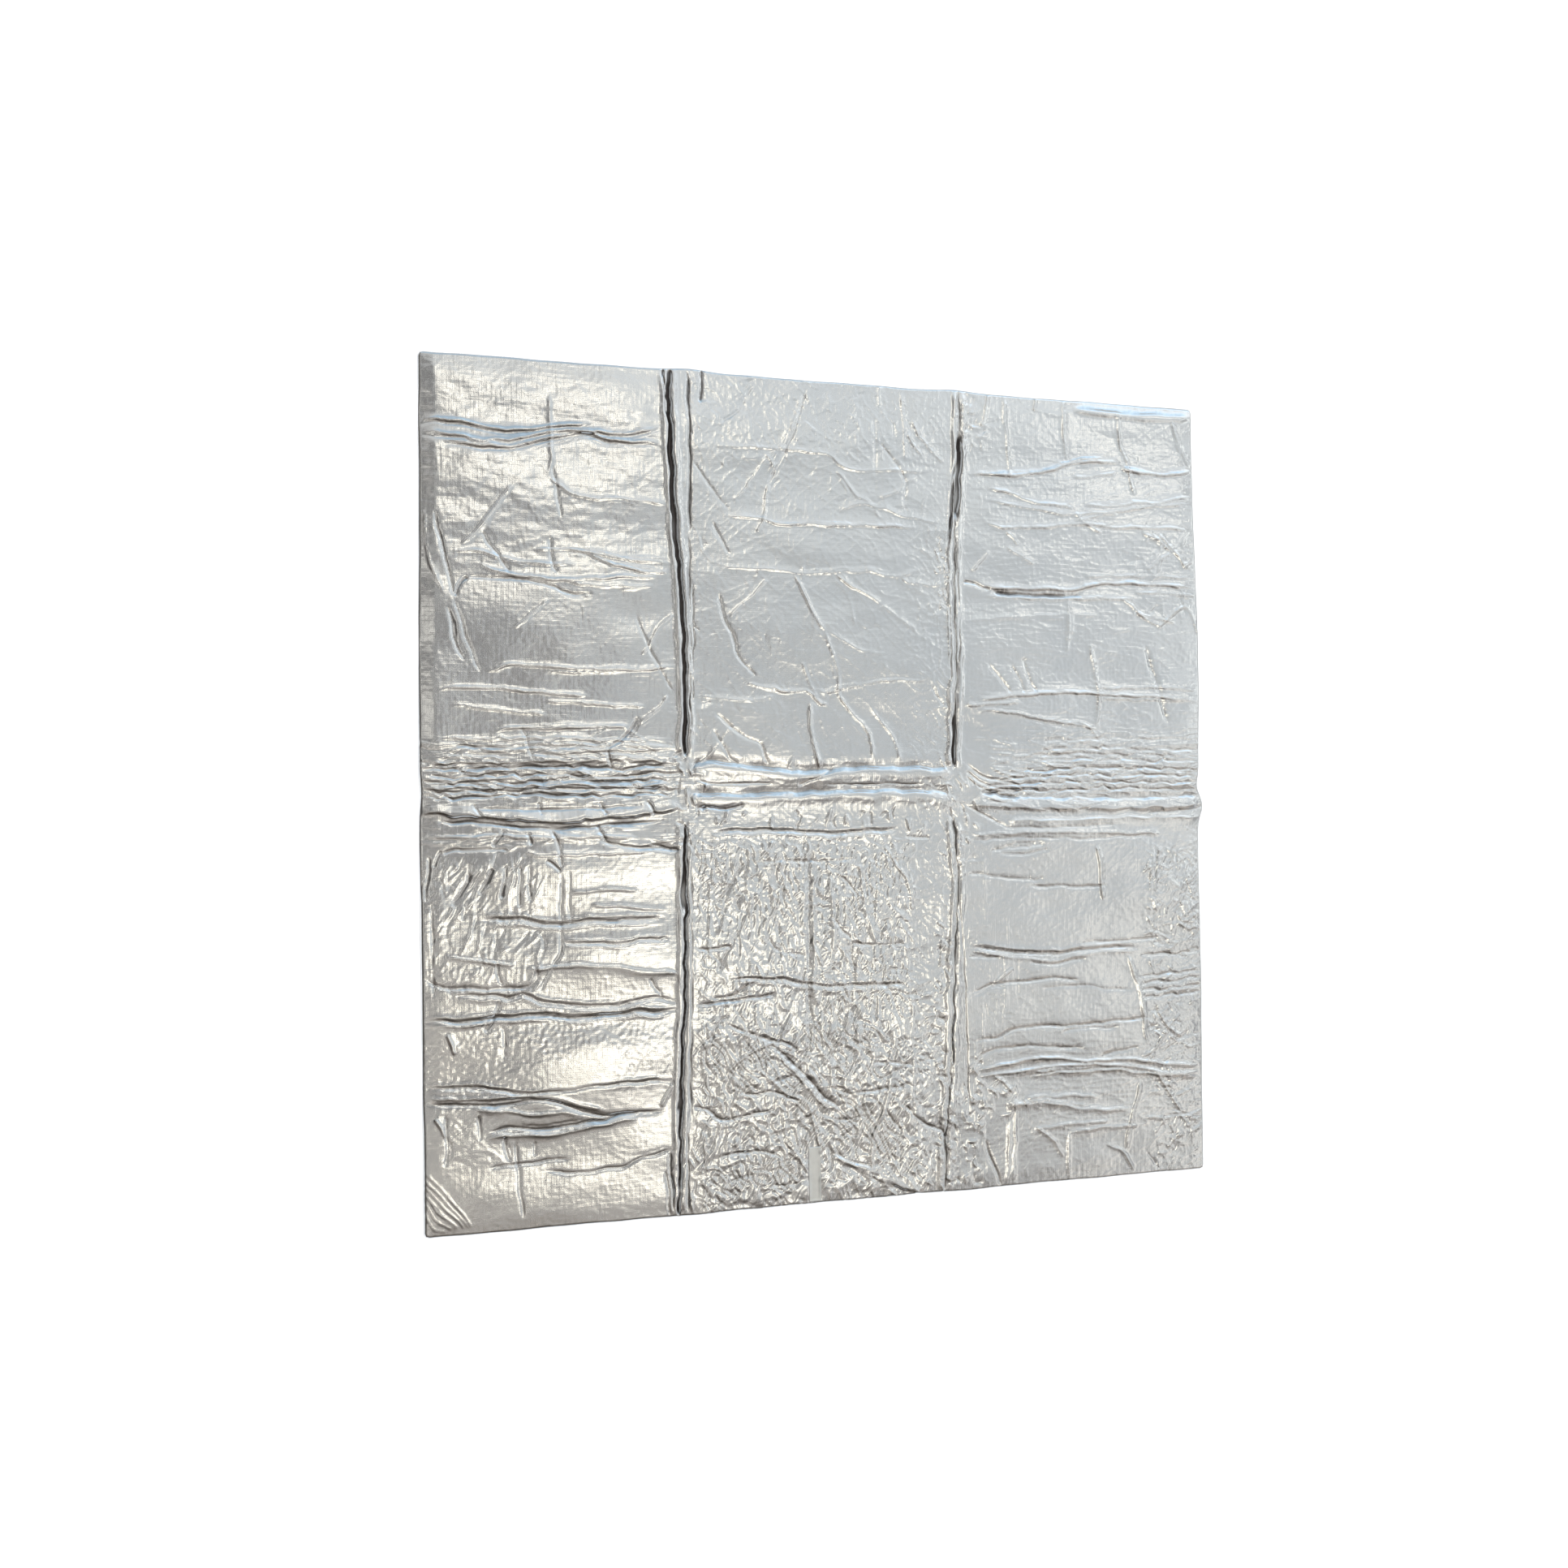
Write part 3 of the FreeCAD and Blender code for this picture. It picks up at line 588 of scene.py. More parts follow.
def spine_band():
    """The double crease across the mat, with the wide crumpled bands beside it in the outer columns."""
    # middle column: two long banks that face the back, with a shallow valley behind each
    back_bank = line(-345, 46, -300, 50, -220, 43, -140, 33, -80, 29, -20, 32, 50, 38, 140, 38, 220, 36,
        270, 38)
    front_bank = line(-345, -18, -240, -20, -100, -16, 40, -13, 160, -13, 220, -18, 270, -28)
    for bank in (back_bank, front_bank):
        stroke(3.2, 14, bank, -0.3, 1.0 * MM, 0.05, 1.5)
        stroke(-2.8, 10, bank + [0, .013], 0.4, 1.0 * MM, 0.05, 1.5)
    stroke(-1.6, 2.8, line(-330, 22, -280, 14, -220, 14, -150, 16))
    stroke(-1.2, 2.8, line(-40, 14, 40, 10, 120, 12, 200, 10))
    stroke(-1.6, 4, line(-100, 10, -60, 22, -30, 37, -10, 45))
    # left column
    for y, height in ((.050, -2.8), (.034, -2.3), (.020, -2.4), (.004, -2.0), (-.008, -2.5), (.064, 1.6),
        (.012, 1.6)):
        shift = rng.uniform(-.02, .02)
        stroke(height, 3.6, [(-.90, y - .004), (-.78 + shift, y - .003), (-.64, y + .001), (-.50 + shift,
            y - .002),
                             (-.37, y + .004)], 0.2, 2.2 * MM, 0.08)
    stroke(4.0, 14, line(-900, -43, -820, -46, -750, -52, -650, -61, -550, -58, -460, -50, -400, -42,
        -360, -30), 0.62, 1.4 * MM, 0.05, 1.7)
    stroke(-1.8, 3.4, line(-800, -34, -700, -38, -580, -37, -440, -31))
    stroke(-2.6, 4, line(-880, -60, -780, -64, -650, -78, -540, -74, -440, -66, -385, -58))
    stroke(-2.2, 4, line(-435, -22, -425, -35, -415, -50))
    stroke(-2.0, 3.4, line(-795, -25, -785, -40, -775, -52))
    stroke(-1.6, 3.0, line(-660, -22, -656, -50))
    stroke(-1.6, 3.0, line(-535, -22, -528, -35, -520, -50))
    scatter(80, (-.88, -.38), (-.01, .10), (.06, .20), 0, 3, (0.6, 1.6), (2.8, 4.4))
    scatter(30, (-.88, -.38), (-.12, -.075), (.05, .16), 0, 5, (0.4, 1.1), (2.6, 4))
    # right column
    for y, height in ((.112, -1.1), (.090, -1.6), (.076, -1.6), (.064, -2.0), (.044, -2.4), (.028, -1.7),
                      (.012, -1.9), (-.003, -2.0)):
        start = .33 + max(0, y) * 2.2
        stroke(height, 3.8, [(start, y - .006), (.50, y - .002), (.62, y + .002), (.75, y), (.90,
            y - .002)],
               0.2, 2.0 * MM, 0.06)
    stroke(3.4, 17, line(310, -30, 380, -40, 480, -44, 600, -46, 750, -46, 900, -42),
           0.5, 1.0 * MM, 0.05, 1.5)
    stroke(-2.4, 11, line(330, -6, 420, -18, 600, -22, 750, -22, 900, -18), 0.4, 1.0 * MM, 0.05, 1.5)
    stroke(2.0, 8, line(400, -72, 550, -74, 700, -70, 900, -70), -0.3, blunt=0.06)
    stroke(-1.4, 3.4, line(280, -22, 310, -40, 350, -62, 400, -86, 440, -90, 520, -90, 600, -89, 700, -85))
    stroke(1.5, 4.6, line(310, -104, 400, -103, 500, -102, 650, -104, 800, -108), 0.4, blunt=0.05)
    stroke(-1.3, 3.2, line(300, -117, 400, -113, 500, -114, 600, -117, 700, -113, 800, -118))
    stroke(-1.2, 4, line(760, -58, 820, -56, 900, -47))
    for offset in (.0, .016, .03):
        stroke(-1.6, 3.6, [(.30, .06 - offset), (.33, .035 - offset), (.38, .018 - offset), (.44,
            .008 - offset)])
    scatter(70, (.34, .89), (-.005, .12), (.06, .20), 0, 3, (0.4, 1.2), (2.6, 4))
    scatter(30, (.36, .89), (-.05, -.01), (.04, .12), 0, 6, (0.3, 0.9), (2.6, 4))


def column_creases():
    """The two long creases: a slot between raised lips, wandering about the hinge line, its deep film
    darkened by painted shade.
    """
    left_back = line(-377, 900, -378, 840, -376, 780, -372, 700, -368, 600, -361, 500, -353, 400, -349, 300,
        -347, 200, -348, 120, -352, 70)
    left_front = line(-352, -70, -353, -130, -352, -200, -353, -260, -355, -400, -358, -500, -364, -600,
        -368, -680, -368, -760, -372, -840, -376, -900)
    right_back = line(297, 900, 296, 820, 293, 720, 285, 640, 281, 580, 279, 480, 277, 380, 281, 280,
        276, 180, 273, 100, 270, 40)
    right_front = line(268, -60, 272, -140, 278, -220, 272, -300, 266, -400, 261, -500, 255, -600,
        246, -700, 238, -800, 236, -900)
    for path in (left_back, left_front, right_back, right_front):
        stroke(1.8, 9, path + [-.011, 0], 0.2, blunt=0.03, sharp=1.8)
        stroke(1.8, 9, path + [.012, 0], -0.2, blunt=0.03, sharp=1.8)
    # the open slots
    stroke(-8.5, 4.4, left_back, 0, 1.2 * MM, blunt=0.02, sharp=2.5)
    stroke(-5, 6.4, line(-375, 800, -374, 700, -370, 600, -362, 490), 0, 1.2 * MM, 0.2, 2.5)
    stroke(-7.0, 3.0, left_front, 0, 1.2 * MM, blunt=0.02, sharp=2.5)
    stroke(-6, 6.2, line(-353, -140, -355, -200, -354, -270), 0, 1.0 * MM, 0.3, 2.5)
    stroke(-5, 5.6, line(-366, -620, -368, -660, -367, -690), 0, 1.0 * MM, 0.3, 2.5)
    stroke(-2.0, 2.2, right_back, 0, 1.2 * MM, blunt=0.02, sharp=1.4)
    stroke(-7, 6.2, line(297, 810, 296, 740, 291, 670, 284, 600), 0, 1.2 * MM, 0.2, 2.5)
    stroke(-6, 4.8, line(290, 750, 281, 690, 275, 620, 263, 540), 0, 1.0 * MM, 0.2, 2.0)
    stroke(-4.5, 4.2, line(275, 170, 273, 110, 272, 45), 0, 1.0 * MM, 0.2, 2.5)
    stroke(-2.3, 2.2, right_front, 0, 1.2 * MM, blunt=0.02, sharp=1.5)
    stroke(-1.8, 2.3, line(279, -240, 286, -320, 290, -420, 292, -520, 294, -640, 299, -740))
    # thin parallel ridges beside the slots
    for height, width, points in (
        (-3.6, 2.8, line(-390, 900, -386, 860, -382, 800)),
        (-3.6, 2.6, line(-340, 900, -335, 850, -333, 800, -334, 700, -336, 550)),
        (-2.2, 2.6, line(-336, 550, -336, 400, -337, 250, -337, 120)),
        (-1.6, 2.4, line(-328, 450, -331, 300, -333, 180)),
        (-3.2, 3.0, line(-304, 900, -305, 860, -309, 830)),
        (-2.4, 2.6, line(-339, -140, -339, -240, -340, -360, -342, -480, -345, -600, -346, -700)),
        (-2.6, 2.6, line(-352, -720, -354, -800, -352, -890)),
        (-2.8, 2.8, line(-392, -760, -390, -820, -386, -890)),
        (-2.0, 2.6, line(-400, -800, -396, -860, -394, -900)),
        (-2.6, 3.0, line(277, 700, 278, 640, 272, 580)),
        (-1.8, 2.6, line(289, 500, 290, 380, 288, 280)),
        (-1.6, 2.6, line(266, 420, 268, 320, 266, 240)),
        (-2.6, 3.0, line(336, -790, 348, -830, 365, -870, 376, -900)),
        (-2.4, 3.0, line(262, -620, 258, -560, 262, -500)),
    ):
        stroke(height, width, points, 0, 0.6 * MM, 0.1)
    # the crushed strips along the right crease
    scatter(90, (.222, .268), (-.89, -.30), (.015, .035), 20, 60, (0.8, 2.0), (3.2, 4.8))
    scatter(46, (.284, .33), (-.89, -.60), (.015, .035), 70, 50, (0.7, 1.7), (3.2, 4.8))
    scatter(26, (.235, .262), (.40, .58), (.015, .03), 30, 60, (0.6, 1.4), (3.2, 4.6))
    scatter(26, (.295, .36), (.76, .89), (.02, .05), 60, 40, (0.5, 1.3), (3.4, 5))
    scatter(34, (-.335, -.30), (-.88, .88), (.015, .04), 60, 50, (0.3, 0.9), (3.4, 5))
    scatter(30, (-.39, -.31), (-.89, -.76), (.02, .06), 80, 25, (0.6, 1.6), (3.2, 4.8))
    scatter(30, (-.37, -.31), (-.13, .08), (.02, .05), 40, 60, (0.6, 1.8), (3.4, 5))
    scatter(30, (.24, .33), (-.17, .08), (.02, .06), 130, 40, (0.6, 1.8), (3.4, 5))


def crumple():
    """Fine creasing between the drawn wrinkles, strongest where the film was crushed."""
    net = crackle(.046) + 0.6 * crackle(.026)
    glow = patch(-.32, -.06, -.62, -.26, .10)
    level = crackle(.020, 0.35, 6.0, 1)
    slanting = crackle(.045, 0.25, 3.0, 35) + crackle(.050, 0.25, 3.0, 140)
    upright = folded(noise(.046, .30, 3.0, 84)) + 0.6 * folded(noise(.034, .30, 2.4, 62))
    angular = folded(noise(.062, .30, 2.2, 52)) + 0.7 * folded(noise(.046, .30, 2.0, 128))
    dimples = noise(.013, .35) + 0.8 * noise(.022, .35)
    relief[:] += 0.90 * MM * net * (
        0.8 * patch(-.33, .17, -.90, -.10) - 0.4 * glow
        + 0.8 * patch(.76, .90, -.36, -.14) + 0.4 * patch(.76, .90, -.90, -.36)
        + 0.25 * patch(-.33, .25, .74, .90) + 0.35 * patch(.17, .27, -.90, .60)
        + 0.15 * patch(-.90, -.66, -.42, -.14) + 0.10 * (1 - 0.7 * left_column))
    relief[:] += 1.10 * MM * upright * (
        patch(-.31, .16, -.56, -.12, .08) - 0.45 * glow
        + 0.35 * patch(-.88, -.66, -.26, -.14) + 0.15 * patch(-.88, -.70, -.42, -.26))
    relief[:] += 1.35 * MM * angular * (
        patch(-.32, .20, -.90, -.50, .08)
        + 0.2 * patch(-.88, -.74, -.76, -.60) + 0.1 * patch(-.32, .24, .70, .88))
    relief[:] += 0.70 * MM * level * (
        patch(-.90, -.38, -.02, .11) + patch(.36, .90, -.02, .13)
        + 0.12 * patch(-.90, -.38, -.62, -.30) + 0.05 * patch(-.90, -.38, .44, .84)
        + 0.6 * patch(.45, .90, -.80, -.58) + 0.4 * patch(.33, .90, .12, .80))
    relief[:] += 0.30 * MM * slanting * (0.45 + 0.15 * patch(-.33, .24, .08, .90) - 0.20 * left_column)
    relief[:] += 0.022 * MM * dimples * (1 + 2.0 * patch(-.90, -.37, -.62, -.47))
    relief[:] += 0.030 * MM * noise(.009, .4, 6.0, 90) + 0.030 * MM * noise(.009, .4, 6.0, 0)


def broad_waves():
    """The slow rise and fall of the foam under the film."""
    relief[:] += (0.7 + 0.22 * left_column) * MM * noise(.24, .5, 2.2, 0)
    relief[:] += 0.17 * MM * noise(.085, .4, 1.6, 0)
    relief[:] += 0.09 * MM * noise(.026, .4, 2.0, 4) * patch(-.90, -.38, .46, .86)
    edge = np.maximum(np.abs(relief_x), np.abs(relief_y))
    relief[:] -= 0.8 * MM * smoothstep((edge - .86) / .04)
    relief[:] -= 2.4 * MM * smoothstep((relief_y - .874) / .030) * band(.60, .92, .06, relief_x)
    relief[:] -= 2.0 * MM * smoothstep((-.866 - relief_x) / .034) * band(.08, .92, .10, relief_y)


left_column = smoothstep((LEFT_X + .02 - relief_x) / .04)   # 1 in the left column, 0 in the others
back_left_wrinkles()
front_left_wrinkles()
back_middle_wrinkles()
front_middle_wrinkles()
back_right_wrinkles()
front_right_wrinkles()
relief *= 1.45 - 0.45 * patch(-.33, .25, .08, .90)
broad_waves()
crumple()
tape_low, tape_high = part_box("repair_tape")
tape_mask = patch(tape_low[0] + .002, tape_high[0] - .002, tape_low[1], tape_high[1], .012)
relief *= 1 - 0.93 * tape_mask      # the tape holds the film almost smooth
spine_band()
column_creases()


def blurred(values, radius):
    """values smoothed by a Gaussian of that radius, in metres."""
    rows, columns = values.shape
    kx, ky = np.meshgrid(np.fft.rfftfreq(columns, RELIEF_PITCH), np.fft.fftfreq(rows, RELIEF_PITCH))
    weight = np.exp(-2 * (math.pi * radius) ** 2 * (kx**2 + ky**2))
    return np.fft.irfft2(np.fft.rfft2(values) * weight, s=values.shape)


relief = blurred(relief, RELIEF_BLUR)
height_map = np.maximum(REST_LEVEL + relief, FILM_LOW)
room = FILM_HIGH - FILM_KNEE
pressed = FILM_HIGH - room * np.exp(-(height_map - FILM_KNEE) / room)
height_map = np.where(height_map > FILM_KNEE, pressed, height_map)
# painted shade: film that lies deeper than the film around it gets a value from 0 to 1, and the film material
# darkens its colour by it
painted_shade_map = np.minimum(blurred(height_map, HOLLOW_REACH), REST_LEVEL) - height_map
painted_shade_map = smoothstep((painted_shade_map - HOLLOW_START) / HOLLOW_RANGE)


def sample(values, x, y):
    """Bilinear look-up of a relief map at any points."""
    u = (x - axis_values[0]) / RELIEF_PITCH
    v = (y - axis_values[0]) / RELIEF_PITCH
    i = np.clip(u.astype(int), 0, len(axis_values) - 2)
    j = np.clip(v.astype(int), 0, len(axis_values) - 2)
    fu, fv = u - i, v - j
    near = values[j, i] * (1 - fu) + values[j, i + 1] * fu
    far = values[j + 1, i] * (1 - fu) + values[j + 1, i + 1] * fu
    return near * (1 - fv) + far * fv


# ---- one net of points over the mat, shared by every piece so that their edges meet ----

FILM_PITCH = 2.45 * MM
FINE_PITCH = 1.4 * MM         # near the creases
EDGE_STEPS = np.array([0, .12, .5, 1.2, 2.2, 3.6, 5.4]) * MM    # net lines that close in on the mat's edge
EDGE_RADIUS = 6 * MM          # the film turns down over this width
LEAST_STEP = 0.05 * MM


def net_lines(breaks, fine_ranges, edge):
    """Coordinates of the net's lines along one axis: every break, close together in the fine ranges."""
    lines = [np.array(breaks)]
    for low, high in zip(breaks[:-1], breaks[1:]):
        lines.append(np.linspace(low, high, max(3, int((high - low) / FILM_PITCH) + 1)))
    merged = np.unique(np.round(np.concatenate(lines), 6))
    for low, high in fine_ranges:
        inside = [b for b in breaks if low < b < high]
        marks = [low, *inside, high]
        fine = [np.linspace(a, b, max(2, int((b - a) / FINE_PITCH) + 1))
                for a, b in zip(marks[:-1], marks[1:])]
        merged = np.concatenate([merged[(merged < low) | (merged > high)], *fine])
    merged = merged[(merged > -edge + EDGE_STEPS[-1]) & (merged < edge - EDGE_STEPS[-1])]
    merged = np.concatenate([merged, -edge + EDGE_STEPS, edge - EDGE_STEPS])
    merged = np.unique(np.round(merged, 6))
    keep = np.concatenate([[True], np.diff(merged) > LEAST_STEP])
    return merged[keep]


net_x = net_lines(COLUMN_LINES, [(LEFT_X - .035, LEFT_X + .05), (RIGHT_X - .05, RIGHT_X + .035)], EDGE_X)
net_y = net_lines(ROW_LINES, [(-.075, .06)], EDGE_Y)
grid_x, grid_y = np.meshgrid(net_x, net_y, indexing="ij")
to_edge = np.minimum(EDGE_X - np.abs(grid_x), EDGE_Y - np.abs(grid_y))
roll = np.sqrt(np.clip(1 - (1 - np.clip(to_edge / EDGE_RADIUS, 0, 1)) ** 2, 0, 1))
film_height = sample(height_map, grid_x, grid_y)
film_z = FILM_LOW + (film_height - FILM_LOW) * roll
film_painted_shade = sample(painted_shade_map, grid_x, grid_y) * smoothstep(to_edge / (4 * MM))


def outline_shift(x, y):
    """How far the outline leaves a true square: bowed sides, pulled in at the spine, and rounded corners."""
    right = smoothstep((x - .62) / .28)
    left = smoothstep((-x - .62) / .28)
    bow = .010 * np.exp(-(((y - .30) / .28) ** 2)) + .012 * np.exp(-(((y + .045) / .03) ** 2))
    bow = bow - .004 * np.exp(-(((y - .005) / .02) ** 2)) + .003 * np.exp(-(((y + .45) / .2) ** 2))
    belly = .004 * np.exp(-((y / .5) ** 2)) - .003 * np.exp(-(((y + .005) / .03) ** 2))
    back = smoothstep((y - .70) / .20)
    front = smoothstep((-y - .70) / .20)
    rise = .006 * np.exp(-(((x - LEFT_X - .02) / .05) ** 2)) + .004 * np.exp(-(((x - RIGHT_X) / .05) ** 2))
    ripple = .0005 * np.sin(x * 23) + .0003 * np.sin(x * 61 + 1) + .0003 * np.sin(y * 37)
    shift_x = right * (bow + ripple) - left * (belly + ripple)
    shift_y = back * (rise + ripple) - front * (.5 * rise + ripple)
    corner = .010
    inward_x = np.clip((np.abs(x) - EDGE_X + corner) / corner, 0, 1)
    inward_y = np.clip((np.abs(y) - EDGE_Y + corner) / corner, 0, 1)
    cut = 0.29 * corner * (inward_x * inward_y)
    return shift_x - np.sign(x) * cut, shift_y - np.sign(y) * cut


shift_x, shift_y = outline_shift(grid_x, grid_y)
film_net = np.stack([grid_x + shift_x, grid_y + shift_y, film_z], -1)
step_x = np.gradient(film_net, axis=0)
step_y = np.gradient(film_net, axis=1)
film_normals = np.cross(step_x, step_y)
film_normals /= np.linalg.norm(film_normals, axis=-1, keepdims=True)


def span(lines, low, high):
    """The slice of net lines from low to high."""
    first = int(np.argmin(np.abs(lines - low)))
    last = int(np.argmin(np.abs(lines - high)))
    return slice(first, last + 1)


def quads(columns, rows, start=0):
    """Corner numbers of a net's faces, facing up, for points numbered column by column."""
    i, j = np.meshgrid(np.arange(columns - 1), np.arange(rows - 1), indexing="ij")
    a = (i * rows + j).ravel() + start
    return np.stack([a, a + rows, a + rows + 1, a + 1], 1)


def mesh_object(name, points, faces, material):
    """A smooth-shaded mesh object from arrays."""
    mesh = bpy.data.meshes.new(name)
    mesh.vertices.add(len(points))
    mesh.vertices.foreach_set("co", points.astype(np.float32).ravel())
    mesh.loops.add(faces.size)
    mesh.loops.foreach_set("vertex_index", faces.astype(np.int32).ravel())
    mesh.polygons.add(len(faces))
    mesh.polygons.foreach_set("loop_start", np.arange(0, faces.size, faces.shape[1], dtype=np.int32))
    mesh.update(calc_edges=True)
    mesh.validate()
    mesh.shade_smooth()
    mesh.materials.append(material)
    obj = bpy.data.objects.new(name, mesh)
    bpy.context.collection.objects.link(obj)
    return obj


def point_values(obj, name, values):
    """A number at each point, for the materials to read."""
    attribute = obj.data.attributes.new(name, "FLOAT", "POINT")
    attribute.data.foreach_set("value", values.astype(np.float32).ravel())


def film_piece(name, x_range, y_range, material):
    """The film over one cell of the mat."""
    part = (span(net_x, *x_range), span(net_y, *y_range))
    points = film_net[part]
    columns, rows = points.shape[:2]
    obj = mesh_object(name, points.reshape(-1, 3), quads(columns, rows), material)
    obj.data.normals_split_custom_set_from_vertices(film_normals[part].reshape(-1, 3).tolist())
    point_values(obj, "hollow", film_painted_shade[part])
    return obj


FOAM_STRIDE = 4
FOAM_DROP = 0.5 * MM       # the foam's top lies this far under the lowest film near it
FOAM_THIN = 0.6 * MM       # the foam is crushed no thinner than this
FOAM_INSET = 1.2 * MM      # the film stands this far outside the foam at the mat's edges
CUT_EDGE_ANGLE = 50        # degrees: the block's cut edges stay sharp under smooth shading
ON_EDGE = 0.01 * MM        # a net line this close to the mat's edge lies on it


def lowest_near(values, reach):
    """The least of each value's neighbours, reach steps each way."""
    low = values.copy()
    for axis in (0, 1):
        source = low.copy()
        for shift in range(-reach, reach + 1):
            low = np.minimum(low, np.roll(source, shift, axis))
    return low


foam_top = np.maximum(lowest_near(film_height, FOAM_STRIDE) - FOAM_DROP, FOAM_THIN)
foam_under = sample(blurred(np.maximum(-relief, 0), 4 * MM), grid_x, grid_y)
foam_under = np.minimum(foam_under, foam_top - FOAM_THIN) * smoothstep(to_edge / (12 * MM))


def thinned(lines, part):
    """Every few lines of a slice, with its two ends."""
    numbers = np.arange(part.start, part.stop)
    kept = set(numbers[::FOAM_STRIDE]) | {numbers[0], numbers[-1]}
    return np.array(sorted(kept))


def closed_block(top, under):
    """Points and faces of a closed block between two nets of points."""
    columns, rows = top.shape[:2]
    count = columns * rows
    number = np.arange(count).reshape(columns, rows)
    rim = np.concatenate([number[:, 0], number[-1, 1:], number[-2::-1, -1], number[0, -2:0:-1]])
    ahead = np.roll(rim, -1)
    sides = np.stack([rim + count, ahead + count, ahead, rim], 1)
    faces = np.concatenate([quads(columns, rows), quads(columns, rows, count)[:, ::-1], sides])
    return np.concatenate([top.reshape(-1, 3), under.reshape(-1, 3)]), faces


def foam_piece(name, x_range, y_range, material):
    """The closed block of foam under one cell of the film."""
    i = thinned(net_x, span(net_x, *x_range))
    j = thinned(net_y, span(net_y, *y_range))
    net = np.ix_(i, j)
    x, y = film_net[..., 0][net].copy(), film_net[..., 1][net].copy()
    x -= np.sign(x) * FOAM_INSET * (np.abs(net_x[i])[:, None] > EDGE_X - ON_EDGE)
    y -= np.sign(y) * FOAM_INSET * (np.abs(net_y[j])[None, :] > EDGE_Y - ON_EDGE)
    edge_drop = 1 - 0.45 * (1 - smoothstep(to_edge[net] / (5 * MM)))
    top = np.stack([x, y, np.maximum(foam_top[net] * edge_drop, foam_under[net] + 0.9 * FOAM_THIN)], -1)
    under = np.stack([x, y, foam_under[net]], -1)
    obj = mesh_object(name, *closed_block(top, under), material)
    obj.data.set_sharp_from_angle(angle=math.radians(CUT_EDGE_ANGLE))
    return obj


# ---- materials ----


class Nodes:
    """A short way to write a node tree."""

    def __init__(self, tree):
        self.tree = tree
        tree.nodes.clear()

    def add(self, kind, **settings):
        node = self.tree.nodes.new(kind)
        for key, value in settings.items():
            setattr(node, key, value)
        return node

    def link(self, source, target):
        self.tree.links.new(source, target)

    def math(self, operation, a, b=None, c=None):
        node = self.add("ShaderNodeMath", operation=operation)
        for socket, value in zip(node.inputs, (a, b, c)):
            if value is None:
                continue
            if isinstance(value, (int, float)):
                socket.default_value = value
            else:
                self.link(value, socket)
        return node.outputs[0]

    def ramp(self, value, stops):
        node = self.add("ShaderNodeValToRGB")
        ramp = node.color_ramp
        while len(ramp.elements) < len(stops):
            ramp.elements.new(0.5)
        for element, (place, colour) in zip(ramp.elements, stops):
            element.position = place
            element.color = (*colour, 1) if len(colour) == 3 else colour
        self.link(value, node.inputs["Fac"])
        return node.outputs["Color"]

    def mix(self, factor, a, b):
        node = self.add("ShaderNodeMix", data_type="RGBA")
        for socket, value in ((node.inputs["Factor"], factor), (node.inputs["A"], a), (node.inputs["B"], b)):
            if isinstance(value, (int, float)):
                socket.default_value = value
            elif isinstance(value, tuple):
                socket.default_value = (*value, 1)
            else:
                self.link(value, socket)
        return node.outputs["Result"]

    def multiply(self, a, b):
        node = self.add("ShaderNodeVectorMath", operation="MULTIPLY")
        self.link(a, node.inputs[0])
        self.link(b, node.inputs[1])
        return node.outputs[0]

    def noise(self, place, scale, detail=3.0, rough=0.55):
        node = self.add("ShaderNodeTexNoise")
        node.inputs["Scale"].default_value = scale
        node.inputs["Detail"].default_value = detail
        node.inputs["Roughness"].default_value = rough
        self.link(place, node.inputs["Vector"])
        return node.outputs["Fac"]

    def bump(self, height, strength, distance, normal=None):
        node = self.add("ShaderNodeBump")
        node.inputs["Strength"].default_value = strength
        node.inputs["Distance"].default_value = distance
        self.link(height, node.inputs["Height"])
        if normal is not None:
            self.link(normal, node.inputs["Normal"])
        return node.outputs["Normal"]


def new_material(name):
    """A material with one principled shader."""
    material = bpy.data.materials.new(name)
    material.use_nodes = True
    nodes = Nodes(material.node_tree)
    shader = nodes.add("ShaderNodeBsdfPrincipled")
    output = nodes.add("ShaderNodeOutputMaterial")
    nodes.link(shader.outputs[0], output.inputs[0])
    return material, nodes, shader


def sine_rows(nodes, coordinate, pitch):
    """A value from -1 to 1 that repeats at pitch metres along one coordinate."""
    return nodes.math("SINE", nodes.math("MULTIPLY", coordinate, 2 * math.pi / pitch))


